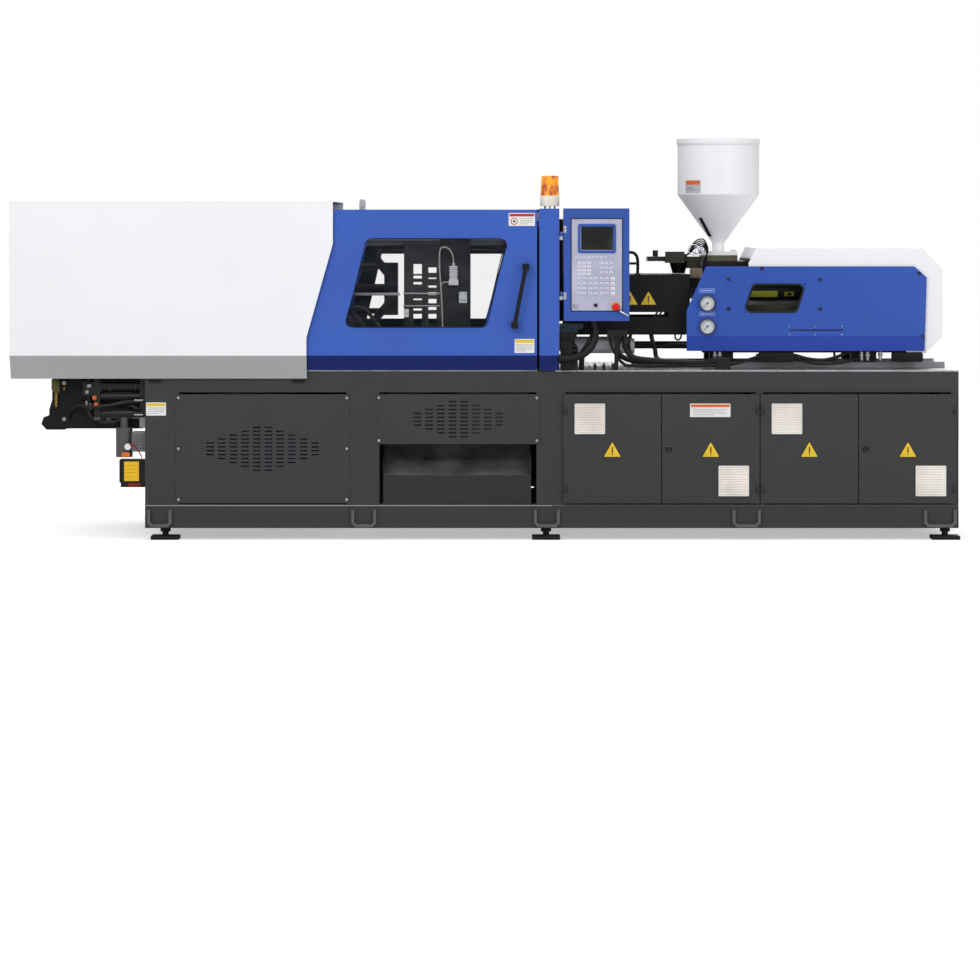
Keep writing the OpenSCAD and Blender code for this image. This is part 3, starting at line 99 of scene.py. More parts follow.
# %% [markdown]
# ## Shader maths on sockets
# A worn edge or a dusty top is a sum and a product of a few patterns. Wiring dozens of Math nodes by hand
# hides that, so a socket is wrapped in a small class on which + - and * work. Writing `1 - mask` then adds
# the node. Any other node comes from one method, which sets what the node is told and then its sockets.

# %% A socket that adds up
def linear(*rgb):
    """Screen colour 0..255 to linear light: ((c + 0.055) / 1.055) ** 2.4 where c / 255 is over 0.04."""
    c = np.array(rgb, float) / 255
    return (*np.where(c < 0.04, c / 12.92, ((c + 0.055) / 1.055) ** 2.4), 1.0)


class Wire:
    """One socket of a shader tree."""

    def __init__(self, tree, socket=None):
        self.tree = tree
        self.socket = socket

    def node(self, kind, settings=None, sockets=None, out=0):
        """Adds a node: its settings first, then a value or link for each socket. Gives one output."""
        made = self.tree.nodes.new("ShaderNode" + kind)
        for key, value in (settings or {}).items():
            setattr(made, key, value)
        for key, value in (sockets or {}).items():
            if isinstance(value, Wire):
                self.tree.links.new(value.socket, made.inputs[key])
            else:
                made.inputs[key].default_value = value
        return Wire(self.tree, made.outputs[out])

    def maths(self, operation, a, b):
        return self.node("Math", {"operation": operation}, {0: a, 1: b})

    def __add__(self, other):
        return self.maths("ADD", self, other)

    def __radd__(self, other):
        return self.maths("ADD", other, self)

    def __sub__(self, other):
        return self.maths("SUBTRACT", self, other)

    def __rsub__(self, other):
        return self.maths("SUBTRACT", other, self)

    def __mul__(self, other):
        return self.maths("MULTIPLY", self, other)

    def __rmul__(self, other):
        return self.maths("MULTIPLY", other, self)

    def between(self, low, high):
        """0 below low, 1 above high, straight in between."""
        return self.node("MapRange", {}, {"Value": self, "From Min": low, "From Max": high})

    def noise(self, scale, detail=2.0, stretch=(1, 1, 1)):
        """A cloud of this many waves to the metre, over object coordinates stretched along an axis."""
        place = self.node("TexCoord", out="Object")
        if stretch != (1, 1, 1):
            place = self.node("Mapping", {}, {"Vector": place, "Scale": stretch})
        return self.node("TexNoise", {}, {"Vector": place, "Scale": scale, "Detail": detail})

    def place(self):
        """The point's x, y and z in the machine's frame, in metres."""
        here = self.node("TexCoord", out="Object")
        return [self.node("SeparateXYZ", {}, {0: here}, out=axis) for axis in "XYZ"]

    def mixed(self, factor, first, second, blend="MIX"):
        """The first colour where factor is 0, the second (or the two blended) where it is 1."""
        settings = {"data_type": "RGBA", "blend_type": blend}
        return self.node("Mix", settings, {0: factor, 6: first, 7: second}, out=2)


def new_material(name):
    """An empty material, the tree to write expressions on, and its Principled shader."""
    made = bpy.data.materials.new(name)
    made.use_nodes = True
    return made, Wire(made.node_tree), made.node_tree.nodes["Principled BSDF"]


def join_up(tree, shader, **sockets):
    """Sets each named socket of the shader (an underscore stands for a space), by a link or a value."""
    for key, value in sockets.items():
        socket = shader.inputs[key.replace("_", " ")]
        if isinstance(value, Wire):
            tree.tree.links.new(value.socket, socket)
        else:
            socket.default_value = value


print("a mid grey has", round(float(linear(128, 128, 128)[0]), 3), "of the light of white")

# %% [markdown]
# ## Studio
# The floor is plain and pale and the air behind is white. A white backdrop board would work too, but it
# would show as a grey wall from other sides. So the world is white only for rays that come from the
# camera, and lights the machine at a plain level. The floor keeps the machine's shadow.

# %% Floor, world and lamps
def seen(tree):
    """1 for a ray from the camera or through glass, and 0 for light that bounces about or glints."""
    camera_ray, through = [tree.node("LightPath", out=kind)
                           for kind in ("Is Camera Ray", "Is Transmission Ray")]
    return tree.maths("MINIMUM", camera_ray + through, 1.0)


def make_studio(floor_half=40, sky=0.55):
    """One large quad at z 0, a world that is white to the eye, and four soft lamps."""
    world = bpy.data.worlds.new("studio")
    world.use_nodes = True
    tree = Wire(world.node_tree)
    sky_colour = tree.mixed(seen(tree), (sky, sky, sky * 1.02, 1), (1, 1, 1, 1))
    world.node_tree.links.new(sky_colour.socket, world.node_tree.nodes["Background"].inputs["Color"])
    bpy.context.scene.world = world

    mesh = bpy.data.meshes.new("floor")
    mesh.from_pydata([(x * floor_half, y * floor_half, 0) for x, y in ((-1, -1), (1, -1), (1, 1), (-1, 1))],
                     [], [(0, 1, 2, 3)])
    floor = bpy.data.objects.new("floor", mesh)
    bpy.context.scene.collection.objects.link(floor)
    made, tree, shader = new_material("floor_pale")
    grain = tree.noise(3.0, 4).between(0.3, 0.7) * 0.02
    tone = tree.mixed(seen(tree), (0.72, 0.72, 0.73, 1), (1.0, 1.0, 1.0, 1))
    glow = tree.mixed(seen(tree), (0, 0, 0, 1), (1, 1, 1, 1))
    join_up(tree, shader, Base_Color=tone, Roughness=0.9 - grain, Specular_IOR_Level=0.1,
            Emission_Color=glow, Emission_Strength=0.45)
    mesh.materials.append(made)

    lamps = {"key": ((-3.5, -7.0, 5.5), 4.0, 205), "fill": ((4.5, -6.5, 3.0), 4.0, 85),
             "top": ((0.5, -0.5, 6.5), 5.0, 125), "back": ((2.5, 7.0, 4.5), 4.0, 120)}
    for name, (place, side, watts) in lamps.items():
        data = bpy.data.lights.new(name, "AREA")
        data.size = side
        data.energy = watts
        lamp = bpy.data.objects.new(name, data)
        lamp.location = place
        aim = np.array((0.2, 0, 0.9)) - place
        lamp.rotation_euler = (np.arctan2(np.hypot(*aim[:2]), -aim[2]), 0, np.arctan2(-aim[0], aim[1]))
        bpy.context.scene.collection.objects.link(lamp)
    return floor


make_studio()

# %% [markdown]
# ## Finishes
# The machine is mostly powder-coated sheet: an even colour with a fine orange peel, a little cloudiness,
# dust on the tops and bare primer where hands and tools have rubbed the edges. A bevel node finds edges
# within a few millimetres, so the sharp CAD solids catch light along their edges as folded sheet does.
# A painted image could carry this, but it would blur close up, so patterns are worked out at each point.

# %% Paint
DUST = linear(176, 172, 164)
PRIMER = linear(150, 146, 140)


def edges(tree, radius):
    """The normal rounded over this radius, and how far it departs from the face's own: 0 inside a face."""
    rounded = tree.node("Bevel", {"samples": 4}, {"Radius": radius})
    own = tree.node("NewGeometry", out="Normal")
    same = tree.node("VectorMath", {"operation": "DOT_PRODUCT"}, {0: rounded, 1: own}, out="Value")
    return rounded, 1 - same, own


def paint(name, colour, rough=0.4, peel=0.2, wear=0.5, dust=0.35, under=PRIMER, coat=0.0, edge=0.003,
          zones=None, cloud=0.12, shine=0.5):
    """Colour = cloud of a darker and a lighter tone, dust where the face looks up, primer on rubbed edges.
    Zones gives (mask, colour) pairs from x, y and z: places in another colour, some of them painted shade
    and painted highlight."""
    made, tree, shader = new_material(name)
    rounded, bend, own = edges(tree, edge)
    upward = tree.node("SeparateXYZ", {}, {0: own}, out="Z").between(0.55, 0.95)
    rubbed = bend.between(0.03, 0.16) * tree.noise(38, 5).between(0.5, 0.62) * wear
    lying = upward * tree.noise(6, 6).between(0.3, 0.75) * dust
    smear = tree.noise(2.2, 6, (1, 1, 0.35)).between(0.45, 0.8)
    tone = colour
    for mask, other in zones(*tree.place()) if zones else []:
        tone = tree.mixed(mask, tone, other)
    tone = tree.mixed(tree.noise(1.4, 4).between(0.3, 0.7), tone, (*[1 - cloud] * 3, 1), "MULTIPLY")
    tone = tree.mixed(lying, tone, DUST)
    tone = tree.mixed(rubbed, tone, under)
    grain = tree.noise(420, 2)
    skin = tree.node("Bump", {}, {"Strength": peel, "Distance": 0.0006, "Height": grain, "Normal": rounded})
    sheen = rough + smear * 0.1 + lying * 0.3 + (grain - 0.5) * 0.08
    join_up(tree, shader, Base_Color=tone, Roughness=sheen, Normal=skin, Coat_Weight=coat,
            Coat_Roughness=0.12, Specular_IOR_Level=shine)
    return made


print("dust", [round(float(v), 2) for v in DUST[:3]], "primer", [round(float(v), 2) for v in PRIMER[:3]])

# %% [markdown]
# Turned and ground steel has a lay: fine lines along the tool's way. Lines are noise squeezed in one
# direction. Cast iron and rubber have none, only a coarse or a fine grain, so one recipe serves each pair.

# %% Metal, casting, rubber and plastic
def metal(name, colour, rough=0.3, lay=(1, 30, 30), oil=0.3, line=0.25, edge=0.0015):
    """Metallic 1; roughness = base + lines squeezed along the lay + oil film, which also darkens it."""
    made, tree, shader = new_material(name)
    rounded, bend, own = edges(tree, edge)
    lines = tree.noise(60, 3, lay)
    film = tree.noise(9, 5).between(0.5, 0.75) * oil
    dark = (*(0.72 * np.array(colour[:3])), 1)
    tone = tree.mixed(lines.between(0.25, 0.75), dark, colour)
    tone = tree.mixed(film, tone, linear(92, 82, 66))
    # Edges turn nearly white: partly worn bright metal, partly a painted highlight along them.
    tone = tree.mixed(bend.between(0.05, 0.25) * 0.6, tone, linear(236, 236, 236))
    skin = tree.node("Bump", {}, {"Strength": line, "Distance": 0.0004, "Height": lines, "Normal": rounded})
    join_up(tree, shader, Base_Color=tone, Metallic=1 - film * 0.5, Normal=skin,
            Roughness=rough + (lines - 0.5) * 0.2 + film * 0.15)
    return made


def grained(name, colour, rough=0.6, grain=300.0, relief=0.3, depth=0.0006, wear=0.3, dust=0.3, edge=0.0015,
            shine=0.35):
    """Not metallic: a colour with a cloud, a grain of so many waves to the metre, dust, and paler edges."""
    made, tree, shader = new_material(name)
    rounded, bend, own = edges(tree, edge)
    upward = tree.node("SeparateXYZ", {}, {0: own}, out="Z").between(0.4, 0.95)
    pits = tree.noise(grain, 4)
    lying = upward * tree.noise(11, 5).between(0.35, 0.7) * dust
    base = np.array(colour[:3])
    tone = tree.mixed(tree.noise(5, 4).between(0.3, 0.7), (*(base * 0.8), 1),
                      (*np.minimum(1, base * 1.12), 1))
    tone = tree.mixed(lying, tone, DUST)
    paler = (*np.minimum(1, base * 1.5 + 0.05), 1)
    tone = tree.mixed(bend.between(0.04, 0.2) * tree.noise(50, 4).between(0.4, 0.6) * wear, tone, paler)
    skin = tree.node("Bump", {}, {"Strength": relief, "Distance": depth, "Height": pits, "Normal": rounded})
    join_up(tree, shader, Base_Color=tone, Roughness=rough + (pits - 0.5) * 0.15 + lying * 0.2, Normal=skin,
            Specular_IOR_Level=shine)
    return made


def clear(name, colour, alpha, rough=0.04, smears=0.1, haze=1.0):
    """A see-through sheet: alpha is low, and rises in wiped streaks that also make it duller and paler."""
    made, tree, shader = new_material(name)
    wiped = tree.noise(5, 6, (1, 1, 3)).between(0.45, 0.8)
    fine = tree.noise(260, 2)
    join_up(tree, shader, Base_Color=tree.mixed(wiped * haze, colour, linear(225, 230, 235)),
            Alpha=alpha + wiped * smears, Roughness=rough + wiped * 0.12 + fine * 0.02)
    return made


print("recipes for finishes:", [recipe.__name__ for recipe in (paint, metal, grained, clear)])

# %% [markdown]
# Each slot of the part's record gets its finish, and each CAD node is given the finish of its slot. The
# solids whose shape is right are kept and only dressed: remaking them here would risk the joints.

# %% A finish for every slot
BED = linear(50, 50, 51)
BLUE = linear(60, 98, 192)
DEEP_BLUE = linear(44, 86, 180)
WHITE = linear(249, 250, 251)
# Tones below the fold: partly a darker paint, partly painted shade of the folds that face down.
NAVY_PAINT_AND_SHADE = linear(0, 30, 108)
GREY_PAINT_AND_SHADE = linear(176, 176, 177)
BLACK = linear(12, 12, 13)
FOLD = 0.927
GRIP_OUT = 0.602


def below(level, z):
    """1 under the level, 0 over it, with an edge half a millimetre wide."""
    return z.between(level + 0.0003, level - 0.0003)


def door_zones(x, y, z):
    """Navy below the fold, partly a darker paint and partly painted shade of the fold, and black where
    the grip stands out of the door, in front and behind.
    """
    out = x.maths("ABSOLUTE", y, 0.0).between(GRIP_OUT, GRIP_OUT + 0.0005)
    return [(below(FOLD, z), NAVY_PAINT_AND_SHADE), (out, BLACK)]


FINISH = {
    "bed_grey": paint("bed_grey", BED, rough=0.5, peel=0.45, wear=0.5, dust=0.25,
                      under=linear(120, 118, 115)),
    "machine_blue": paint("machine_blue", linear(50, 87, 174), rough=0.36, wear=0.25, dust=0.12, coat=0.05,
                          shine=0.35),
    # Below 1.017 the guard is a darker blue: partly a darker paint, partly painted shade of its lower band.
    "guard_blue": paint("guard_blue", DEEP_BLUE, rough=0.36, wear=0.25, dust=0.12, coat=0.05, shine=0.35,
                        zones=lambda x, y, z: [(below(1.017, z), linear(24, 66, 168))]),
    "cover_white": paint("cover_white", WHITE, rough=0.36, wear=0.2, dust=0.1, under=linear(170, 170, 172),
                         cloud=0.04),
    "window_clear": clear("window_clear", linear(70, 80, 90), 0.035, smears=0.02, haze=0.3),
    "platen_grey": grained("platen_grey", linear(17, 18, 20), rough=0.5, grain=90, relief=0.5, depth=0.002),
    "link_steel": metal("link_steel", linear(44, 45, 47), rough=0.4, oil=0.6),
    "bright_steel": metal("bright_steel", linear(222, 224, 228), rough=0.12, oil=0.15, line=0.06),
    "deck_steel": metal("deck_steel", linear(206, 207, 209), rough=0.36, lay=(1, 1, 1), oil=0.5, line=0.4),
    "frame_dark": paint("frame_dark", linear(30, 30, 32), rough=0.5, peel=0.35, wear=0.6, shine=0.3),
    "guard_black": paint("guard_black", linear(12, 13, 13), rough=0.48, peel=0.25, wear=0.35, dust=0.12,
                         shine=0.25),
    "hose_black": grained("hose_black", linear(14, 14, 15), rough=0.5, grain=700, relief=0.4),
    "fascia_lilac": grained("fascia_lilac", linear(188, 188, 210), rough=0.42, grain=1400, relief=0.15,
                            wear=0.1, dust=0.05),
    "stop_red": grained("stop_red", linear(214, 26, 24), rough=0.28, grain=900, relief=0.08, dust=0.05),
    "beacon_orange": clear("beacon_orange", linear(240, 92, 8), 0.93, rough=0.12, smears=0.06),
    "beacon_cream": grained("beacon_cream", linear(246, 236, 220), rough=0.5, grain=500, relief=0.15),
    "mirror_metal": metal("mirror_metal", linear(232, 232, 230), rough=0.08, oil=0.0, line=0.05),
    "needle_black": grained("needle_black", linear(18, 18, 18), rough=0.4, grain=900, relief=0.1),
    "hydraulic_blue": paint("hydraulic_blue", linear(38, 66, 112), rough=0.4, wear=0.5, dust=0.5),
    "motor_grey": paint("motor_grey", linear(116, 120, 124), rough=0.45, wear=0.5, dust=0.5),
    "gear_grey": grained("gear_grey", linear(190, 190, 184), rough=0.55, grain=500, relief=0.2),
    "lubricator_black": grained("lubricator_black", linear(14, 14, 15), rough=0.45, grain=600, relief=0.2),
    "slide_metal": metal("slide_metal", linear(70, 69, 64), rough=0.4, lay=(30, 1, 30)),
    "foot_black": grained("foot_black", linear(18, 18, 19), rough=0.6, grain=260, relief=0.4),
    "barrel_steel": metal("barrel_steel", linear(142, 138, 132), rough=0.42, oil=0.6),
}
# The door and the post are navy below the fold and the cover grey: partly a darker paint, partly painted
# shade of the folds that face down.
DOOR_PAINT = paint("door_paint", BLUE, rough=0.36, wear=0.25, dust=0.12, coat=0.05, zones=door_zones,
                   shine=0.3)
POST_PAINT = paint("post_paint", BLUE, rough=0.36, wear=0.3, dust=0.15, coat=0.05, shine=0.3,
                   zones=lambda x, y, z: [(below(FOLD, z), NAVY_PAINT_AND_SHADE)])
COVER_PAINT = paint("cover_paint", WHITE, rough=0.36, wear=0.2, dust=0.1, under=linear(170, 170, 172),
                    cloud=0.04, zones=lambda x, y, z: [(below(FOLD, z), GREY_PAINT_AND_SHADE)])
HOPPER_PAINT = paint("hopper_paint", WHITE, rough=0.34, wear=0.2, dust=0.1, cloud=0.04,
                     zones=lambda x, y, z: [(below(1.4242, z), linear(92, 88, 66))])


def cooler_zones(x, y, z):
    """The motor under the pipes is grey, and its finned box lighter still; the rest is oily black."""
    motor = below(0.612, z)
    return [(motor, linear(84, 85, 86)), (motor * x.between(-1.7795, -1.7785), linear(150, 151, 153))]


COOLER_PAINT = paint("cooler_paint", linear(16, 17, 18), rough=0.36, wear=0.5, dust=0.2, zones=cooler_zones,
                     shine=0.4)
CHUTE_PAINT = paint("chute_paint", linear(22, 22, 23), rough=0.5, wear=0.6, dust=0.3, shine=0.25,
                    zones=lambda x, y, z: [(below(0.392, z), BED)])
FRAME_PAINT = paint("frame_paint", linear(9, 9, 10), rough=0.45, wear=0.35, dust=0.12, shine=0.25)
PIN_PAINT = paint("pin_paint", linear(190, 192, 196), rough=0.3, wear=0.6, dust=0.1, shine=0.7,
                  zones=lambda x, y, z: [(below(0.85, z), BLACK)])
BOX_PAINT = paint("box_paint", linear(50, 87, 174), rough=0.36, wear=0.25, dust=0.12, coat=0.05, shine=0.35,
                  zones=lambda x, y, z: [(below(1.0995, z), BLACK)])
# The lifting lugs' front faces are a lighter grey: partly worn paint, partly a painted highlight on their
# prongs.
LUG_FRONT = -0.5518
BED_PAINT = paint("bed_paint", BED, rough=0.5, peel=0.45, wear=0.5, dust=0.25, under=linear(120, 118, 115),
                  zones=lambda x, y,
                  z: [(y.between(LUG_FRONT + 0.0004, LUG_FRONT - 0.0004), linear(94, 94, 93))])
RAIL_PAINT = paint("rail_paint", linear(232, 232, 234), rough=0.35, wear=0.3, dust=0.15, shine=0.3,
                   zones=lambda x, y, z: [(below(0.9165, z), linear(168, 170, 174))])
TIE_STEEL = metal("tie_steel", linear(84, 85, 88), rough=0.3, lay=(1, 30, 30), oil=0.5)
OWN_FINISH = {"hopper": HOPPER_PAINT, "oil_cooler": COOLER_PAINT, "tie_bars": TIE_STEEL,
              "front_door": DOOR_PAINT, "rear_door": DOOR_PAINT, "guard_posts": POST_PAINT,
              "clamp_cover_front": COVER_PAINT, "clamp_cover_rear": COVER_PAINT, "drop_chute": CHUTE_PAINT,
              "cover_frame": FRAME_PAINT, "hinge_pins": PIN_PAINT, "control_box": BOX_PAINT,
              "carriage_rails": RAIL_PAINT, "bed_frame": BED_PAINT}
slots = {part["node"]: part["material_slot"] for part in frame["record"]["subparts"]}
for node, solid in frame["nodes"].items():
    solid.data.materials.clear()
    solid.data.materials.append(OWN_FINISH.get(node) or FINISH[slots[node]])
print(len(slots), "nodes dressed in", len(FINISH), "finishes")

# %% [markdown]
# ## Surfaces from arrays
# Keys, plates, screws and hoses could be modelled one by one with a mesh editor's extrude and bevel. But a
# machine repeats them by the hundred, so here each is a grid of rings: a profile carried along a path or up
# an axis, worked out with numpy as a whole. A ring's points go round so that the faces look out.

# %% Rings to mesh
AXES = {"x": ((0, 1, 0), (0, 0, 1), (1, 0, 0)), "y": ((1, 0, 0), (0, 0, 1), (0, -1, 0)),
        "z": ((1, 0, 0), (0, 1, 0), (0, 0, 1)), "back": ((-1, 0, 0), (0, 0, 1), (0, 1, 0))}
made_pieces = []


def loft(rings, shut=False):
    """Rings (rows, corners, 3) joined by quads, row to row, with a flat cap on the first and last ring.
    If shut, the last ring joins the first instead, as in a seal or a frame."""
    rows, around = rings.shape[:2]
    index = np.arange(rows * around).reshape(rows, around)
    low, high = (index, np.roll(index, -1, 0)) if shut else (index[:-1], index[1:])
    quads = np.stack([low, np.roll(low, -1, 1), np.roll(high, -1, 1), high], -1).reshape(-1, 4)
    return rings.reshape(-1, 3), [quads] if shut else [quads, index[:1, ::-1], index[-1:]]


def piece(name, parts, body, slot, finish=None, inks=None, sharp=38):
    """One mesh from several (points, face arrays), riding on a body. Its finish is its slot's own if none
    is given. Inks give each part a colour, kept on its points, which the printed finish reads. Edges
    sharper than so many degrees stay crisp."""
    starts = np.cumsum([0] + [len(points) for points, _ in parts])
    faces = [one + start for (_, many), start in zip(parts, starts) for one in many]
    corners = np.concatenate([one.ravel() for one in faces])
    sides = np.concatenate([np.full(len(one), one.shape[1]) for one in faces])
    mesh = bpy.data.meshes.new(name)
    mesh.vertices.add(starts[-1])
    mesh.vertices.foreach_set("co", np.concatenate([points for points, _ in parts]).astype("f").ravel())
    mesh.loops.add(len(corners))
    mesh.loops.foreach_set("vertex_index", corners.astype("i"))
    mesh.polygons.add(len(sides))
    mesh.polygons.foreach_set("loop_start", np.cumsum(np.r_[0, sides[:-1]]).astype("i"))
    mesh.polygons.foreach_set("use_smooth", np.ones(len(sides), bool))
    mesh.update(calc_edges=True)
    mesh.validate()
    mesh.set_sharp_from_angle(angle=np.radians(sharp))
    if inks is not None:
        counts = [len(points) for points, _ in parts]
        colours = np.repeat(np.array(inks, float), counts, axis=0).astype("f")
        mesh.attributes.new("ink", "FLOAT_COLOR", "POINT").data.foreach_set("color", colours.ravel())
    plain = FINISH[slot] if inks is None else PRINTED
    mesh.materials.append(finish or plain)
    made = bpy.data.objects.new(name, mesh)
    bpy.context.scene.collection.objects.link(made)
    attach(made, body)
    made_pieces.append(made)
    return made


print("axes a part can be turned about:", list(AXES))

# %% Blocks, plates and turned shapes
def outline_of(corners, radius, inset, steps=3):
    """A convex outline drawn in by each inset. Each corner moves in by inset + r along its edges' normals
    and becomes an arc of radius r = radius - inset that turns from one normal to the next."""
    corners = np.array(corners, float)
    run = np.roll(corners, -1, 0) - corners
    normal = np.stack([run[:, 1], -run[:, 0]], -1) / np.linalg.norm(run, axis=1, keepdims=True)
    before = np.roll(normal, 1, 0)
    meet = (before + normal) / (1 + (before * normal).sum(1, keepdims=True))
    inset = np.array(inset, float)[:, None, None, None]
    reach = np.maximum(radius - inset, 1e-4)
    start = np.arctan2(before[:, 1], before[:, 0])
    sweep = (np.arctan2(normal[:, 1], normal[:, 0]) - start) % (2 * np.pi)
    angle = start[:, None] + sweep[:, None] * np.linspace(0, 1, steps + 1)
    arcs = np.stack([np.cos(angle), np.sin(angle)], -1)
    return (corners[:, None] - (inset + reach) * meet[:, None] + reach * arcs).reshape(len(inset), -1, 2)


def raised(flat, level, axis):
    """Outlines (rows, corners, 2), each at its level along the axis, turned into the machine's frame."""
    tall = np.broadcast_to(np.array(level, float)[:, None, None], (*flat.shape[:2], 1))
    return np.concatenate([flat, tall], -1) @ np.array(AXES[axis], float)


def upright(x, z):
    """The corners of a rectangle from x[0] to x[1] and z[0] to z[1], the right way round from the front."""
    return [(x[0], z[0]), (x[1], z[0]), (x[1], z[1]), (x[0], z[1])]


def plate(corners, levels, axis="y", corner=0.002, edge=0.001, steps=2):
    """A convex outline between two levels with round rims: inset edge (1 - sin a), rise edge (1 - cos a).
    Axis y counts its levels towards the viewer, so a plate in front of y -0.6 has levels above 0.6."""
    a = np.linspace(0, np.pi / 2, steps + 1)
    inset = np.r_[edge * (1 - np.sin(a)), edge * (1 - np.sin(a[::-1]))]
    rise = edge * (1 - np.cos(a))
    return loft(raised(outline_of(corners, corner, inset), np.r_[levels[0] + rise, levels[1] - rise[::-1]],
                       axis))


def block(low, high, axis="y", corner=0.002, edge=0.001, steps=2):
    """A box from low to high as a plate: round corners seen along the axis, round rims on its two faces."""
    ends = np.sort(np.array(AXES[axis], float) @ np.array([low, high], float).T, axis=1)
    (u0, u1), (v0, v1), levels = ends
    corner = min(corner, (u1 - u0) * 0.49, (v1 - v0) * 0.49)
    edge = min(edge, corner * 0.98, (levels[1] - levels[0]) * 0.49)
    return plate(upright((u0, u1), (v0, v1)), levels, axis, corner, edge, steps)


def rim(corners, rows, axis="y", corner=0.01):
    """A frame that follows an outline: a row is (how far in, level), and the last row joins the first."""
    inset, level = np.array(rows, float).T
    return loft(raised(outline_of(corners, corner, inset), level, axis), shut=True)


def turned(profile, place, axis="z", around=28):
    """A profile of (radius, height) rows spun about an axis through place: (r cos t, r sin t, h)."""
    radius, height = np.maximum(np.array(profile, float).T, ((1e-5,), (-9,)))
    t = np.linspace(0, 2 * np.pi, around, endpoint=False)
    ring = np.stack([np.cos(t), np.sin(t), np.zeros(around)], -1)
    rings = radius[:, None, None] * ring + height[:, None, None] * np.array([0, 0, 1])
    return loft(rings @ np.array(AXES[axis], float) + np.array(place, float))


def bar(place, axis, length, radius, edge=0.001, around=16):
    """A round bar from place along an axis, its rims chamfered by edge. Axis y runs towards the viewer."""
    inner = radius - edge
    rows = [(inner, 0), (radius, edge), (radius, length - edge), (inner, length)]
    return turned(rows, place, axis, around)


def repeated(part, places):
    """The same part set at each of several places: its points are added to every place at once."""
    points, faces = part
    places = np.array(places, float).reshape(-1, 3)
    moved = (points[None] + places[:, None]).reshape(-1, 3)
    step = np.arange(len(places))[:, None, None] * len(points)
    return moved, [(one[None] + step).reshape(-1, one.shape[1]) for one in faces]


print("a block has", len(block((0, 0, 0), (1, 1, 1))[0]), "points")

# %% Hoses and cables
def route(places, step=0.012):
    """A smooth curve through places: between each two a cubic, sampled every step, whose slope at a place is
    half the way from the place before it to the place after it."""
    p = np.array(places, float)
    p = np.concatenate([2 * p[:1] - p[1:2], p, 2 * p[-1:] - p[-2:-1]])
    spans = np.linalg.norm(np.diff(p[1:-1], axis=0), axis=1)
    counts = np.maximum(2, np.ceil(spans / step)).astype(int)
    i = np.repeat(np.arange(len(counts)), counts)
    t = ((np.arange(counts.sum()) - np.repeat(np.cumsum(counts) - counts, counts)) / counts[i])[:, None]
    a, b, c, d = p[i], p[i + 1], p[i + 2], p[i + 3]
    curve = b + t / 2 * (c - a + t * (2 * a - 5 * b + 4 * c - d + t * (3 * (b - c) + d - a)))
    return np.concatenate([curve, p[-2:-1]])


def hose(places, radius, step=0.012, around=10, ribs=0.0, pitch=0.012):
    """A circle carried along the route: centre + r (side cos t + up sin t), side square to the run and to
    the route's flattest direction. With ribs, r swells as the sine of the length over the pitch."""
    run = route(places, step)
    along = np.gradient(run, axis=0)
    along /= np.linalg.norm(along, axis=1, keepdims=True)
    spread = np.linalg.svd(run - run.mean(0) + 1e-9, full_matrices=True)[2][2]
    side = np.cross(along, spread)
    side /= np.linalg.norm(side, axis=1, keepdims=True)
    up = np.cross(along, side)
    length = np.r_[0, np.cumsum(np.linalg.norm(np.diff(run, axis=0), axis=1))]
    swell = radius + ribs * np.sin(length / pitch * 2 * np.pi)
    t = np.linspace(0, 2 * np.pi, around, endpoint=False)[:, None]
    rings = run[:, None] + swell[:, None, None] * (side[:, None] * np.cos(t) + up[:, None] * np.sin(t))
    return loft(rings)


def screw_head(radius=0.006, proud=0.003, sides=14):
    """A pan head with a hexagon socket, its top towards the viewer along -y: rim, dome and hollow."""
    rows = [(radius, 0), (radius, proud * 0.6), (radius * 0.86, proud), (radius * 0.5, proud),
            (radius * 0.46, proud * 0.35), (0, proud * 0.35)]
    return turned(rows, (0, 0, 0), "y", sides)


print("pieces are made of rings:", len(loft(np.zeros((3, 8, 3)))[1][0]), "quads join three rings of eight")

# %% [markdown]
# ## Printed plates and signs
# The plates on a machine are white film or tin with a coloured head and a few lines of small print, and
# yellow triangles where a hand could come to harm. A picture texture would carry the print, but it shows
# pixels close by. Each field is a thin raised part here, and its colour rides on the mesh's points, so one
# finish prints them all. The words stay off: the part carries no lettering but a dial's marks.

# %% The printed finish, plates and triangles
INK_WHITE = linear(240, 240, 238)
INK_YELLOW = linear(240, 200, 30)
INK_RED = linear(200, 34, 34)
INK_BLACK = linear(24, 24, 24)
INK_GREY = linear(150, 150, 150)
FILM = 0.0012
LIFT = 0.0003


def printed_finish():
    """Colour from the points' ink, dulled a little in a cloud; a film's slight waviness in the sheen."""
    made, tree, shader = new_material("printed_film")
    ink = tree.node("Attribute", {"attribute_name": "ink"}, out="Color")
    aged = tree.node("VectorMath", {"operation": "MULTIPLY"}, {0: ink, 1: (0.8, 0.79, 0.76)})
    tone = tree.mixed(tree.noise(24, 5).between(0.35, 0.8) * 0.5, ink, aged)
    wave = tree.noise(45, 2)
    skin = tree.node("Bump", {}, {"Strength": 0.1, "Distance": 0.0005, "Height": wave})
    join_up(tree, shader, Base_Color=tone, Roughness=0.34 + wave * 0.15, Normal=skin)
    return made


PRINTED = printed_finish()


def field(x, z, front, rise=FILM, corner=0.002):
    """A thin raised field in front of the plane y = -front, from x[0] to x[1] and z[0] to z[1]."""
    return block((x[0], -front - rise, z[0]), (x[1], -front, z[1]), "y", corner, 0.0002, 1)


def turned_round(parts):
    """The same parts seen from behind: half a turn about the upright axis, (x, y) to (-x, -y)."""
    return [(points * (-1, -1, 1), faces) for points, faces in parts]


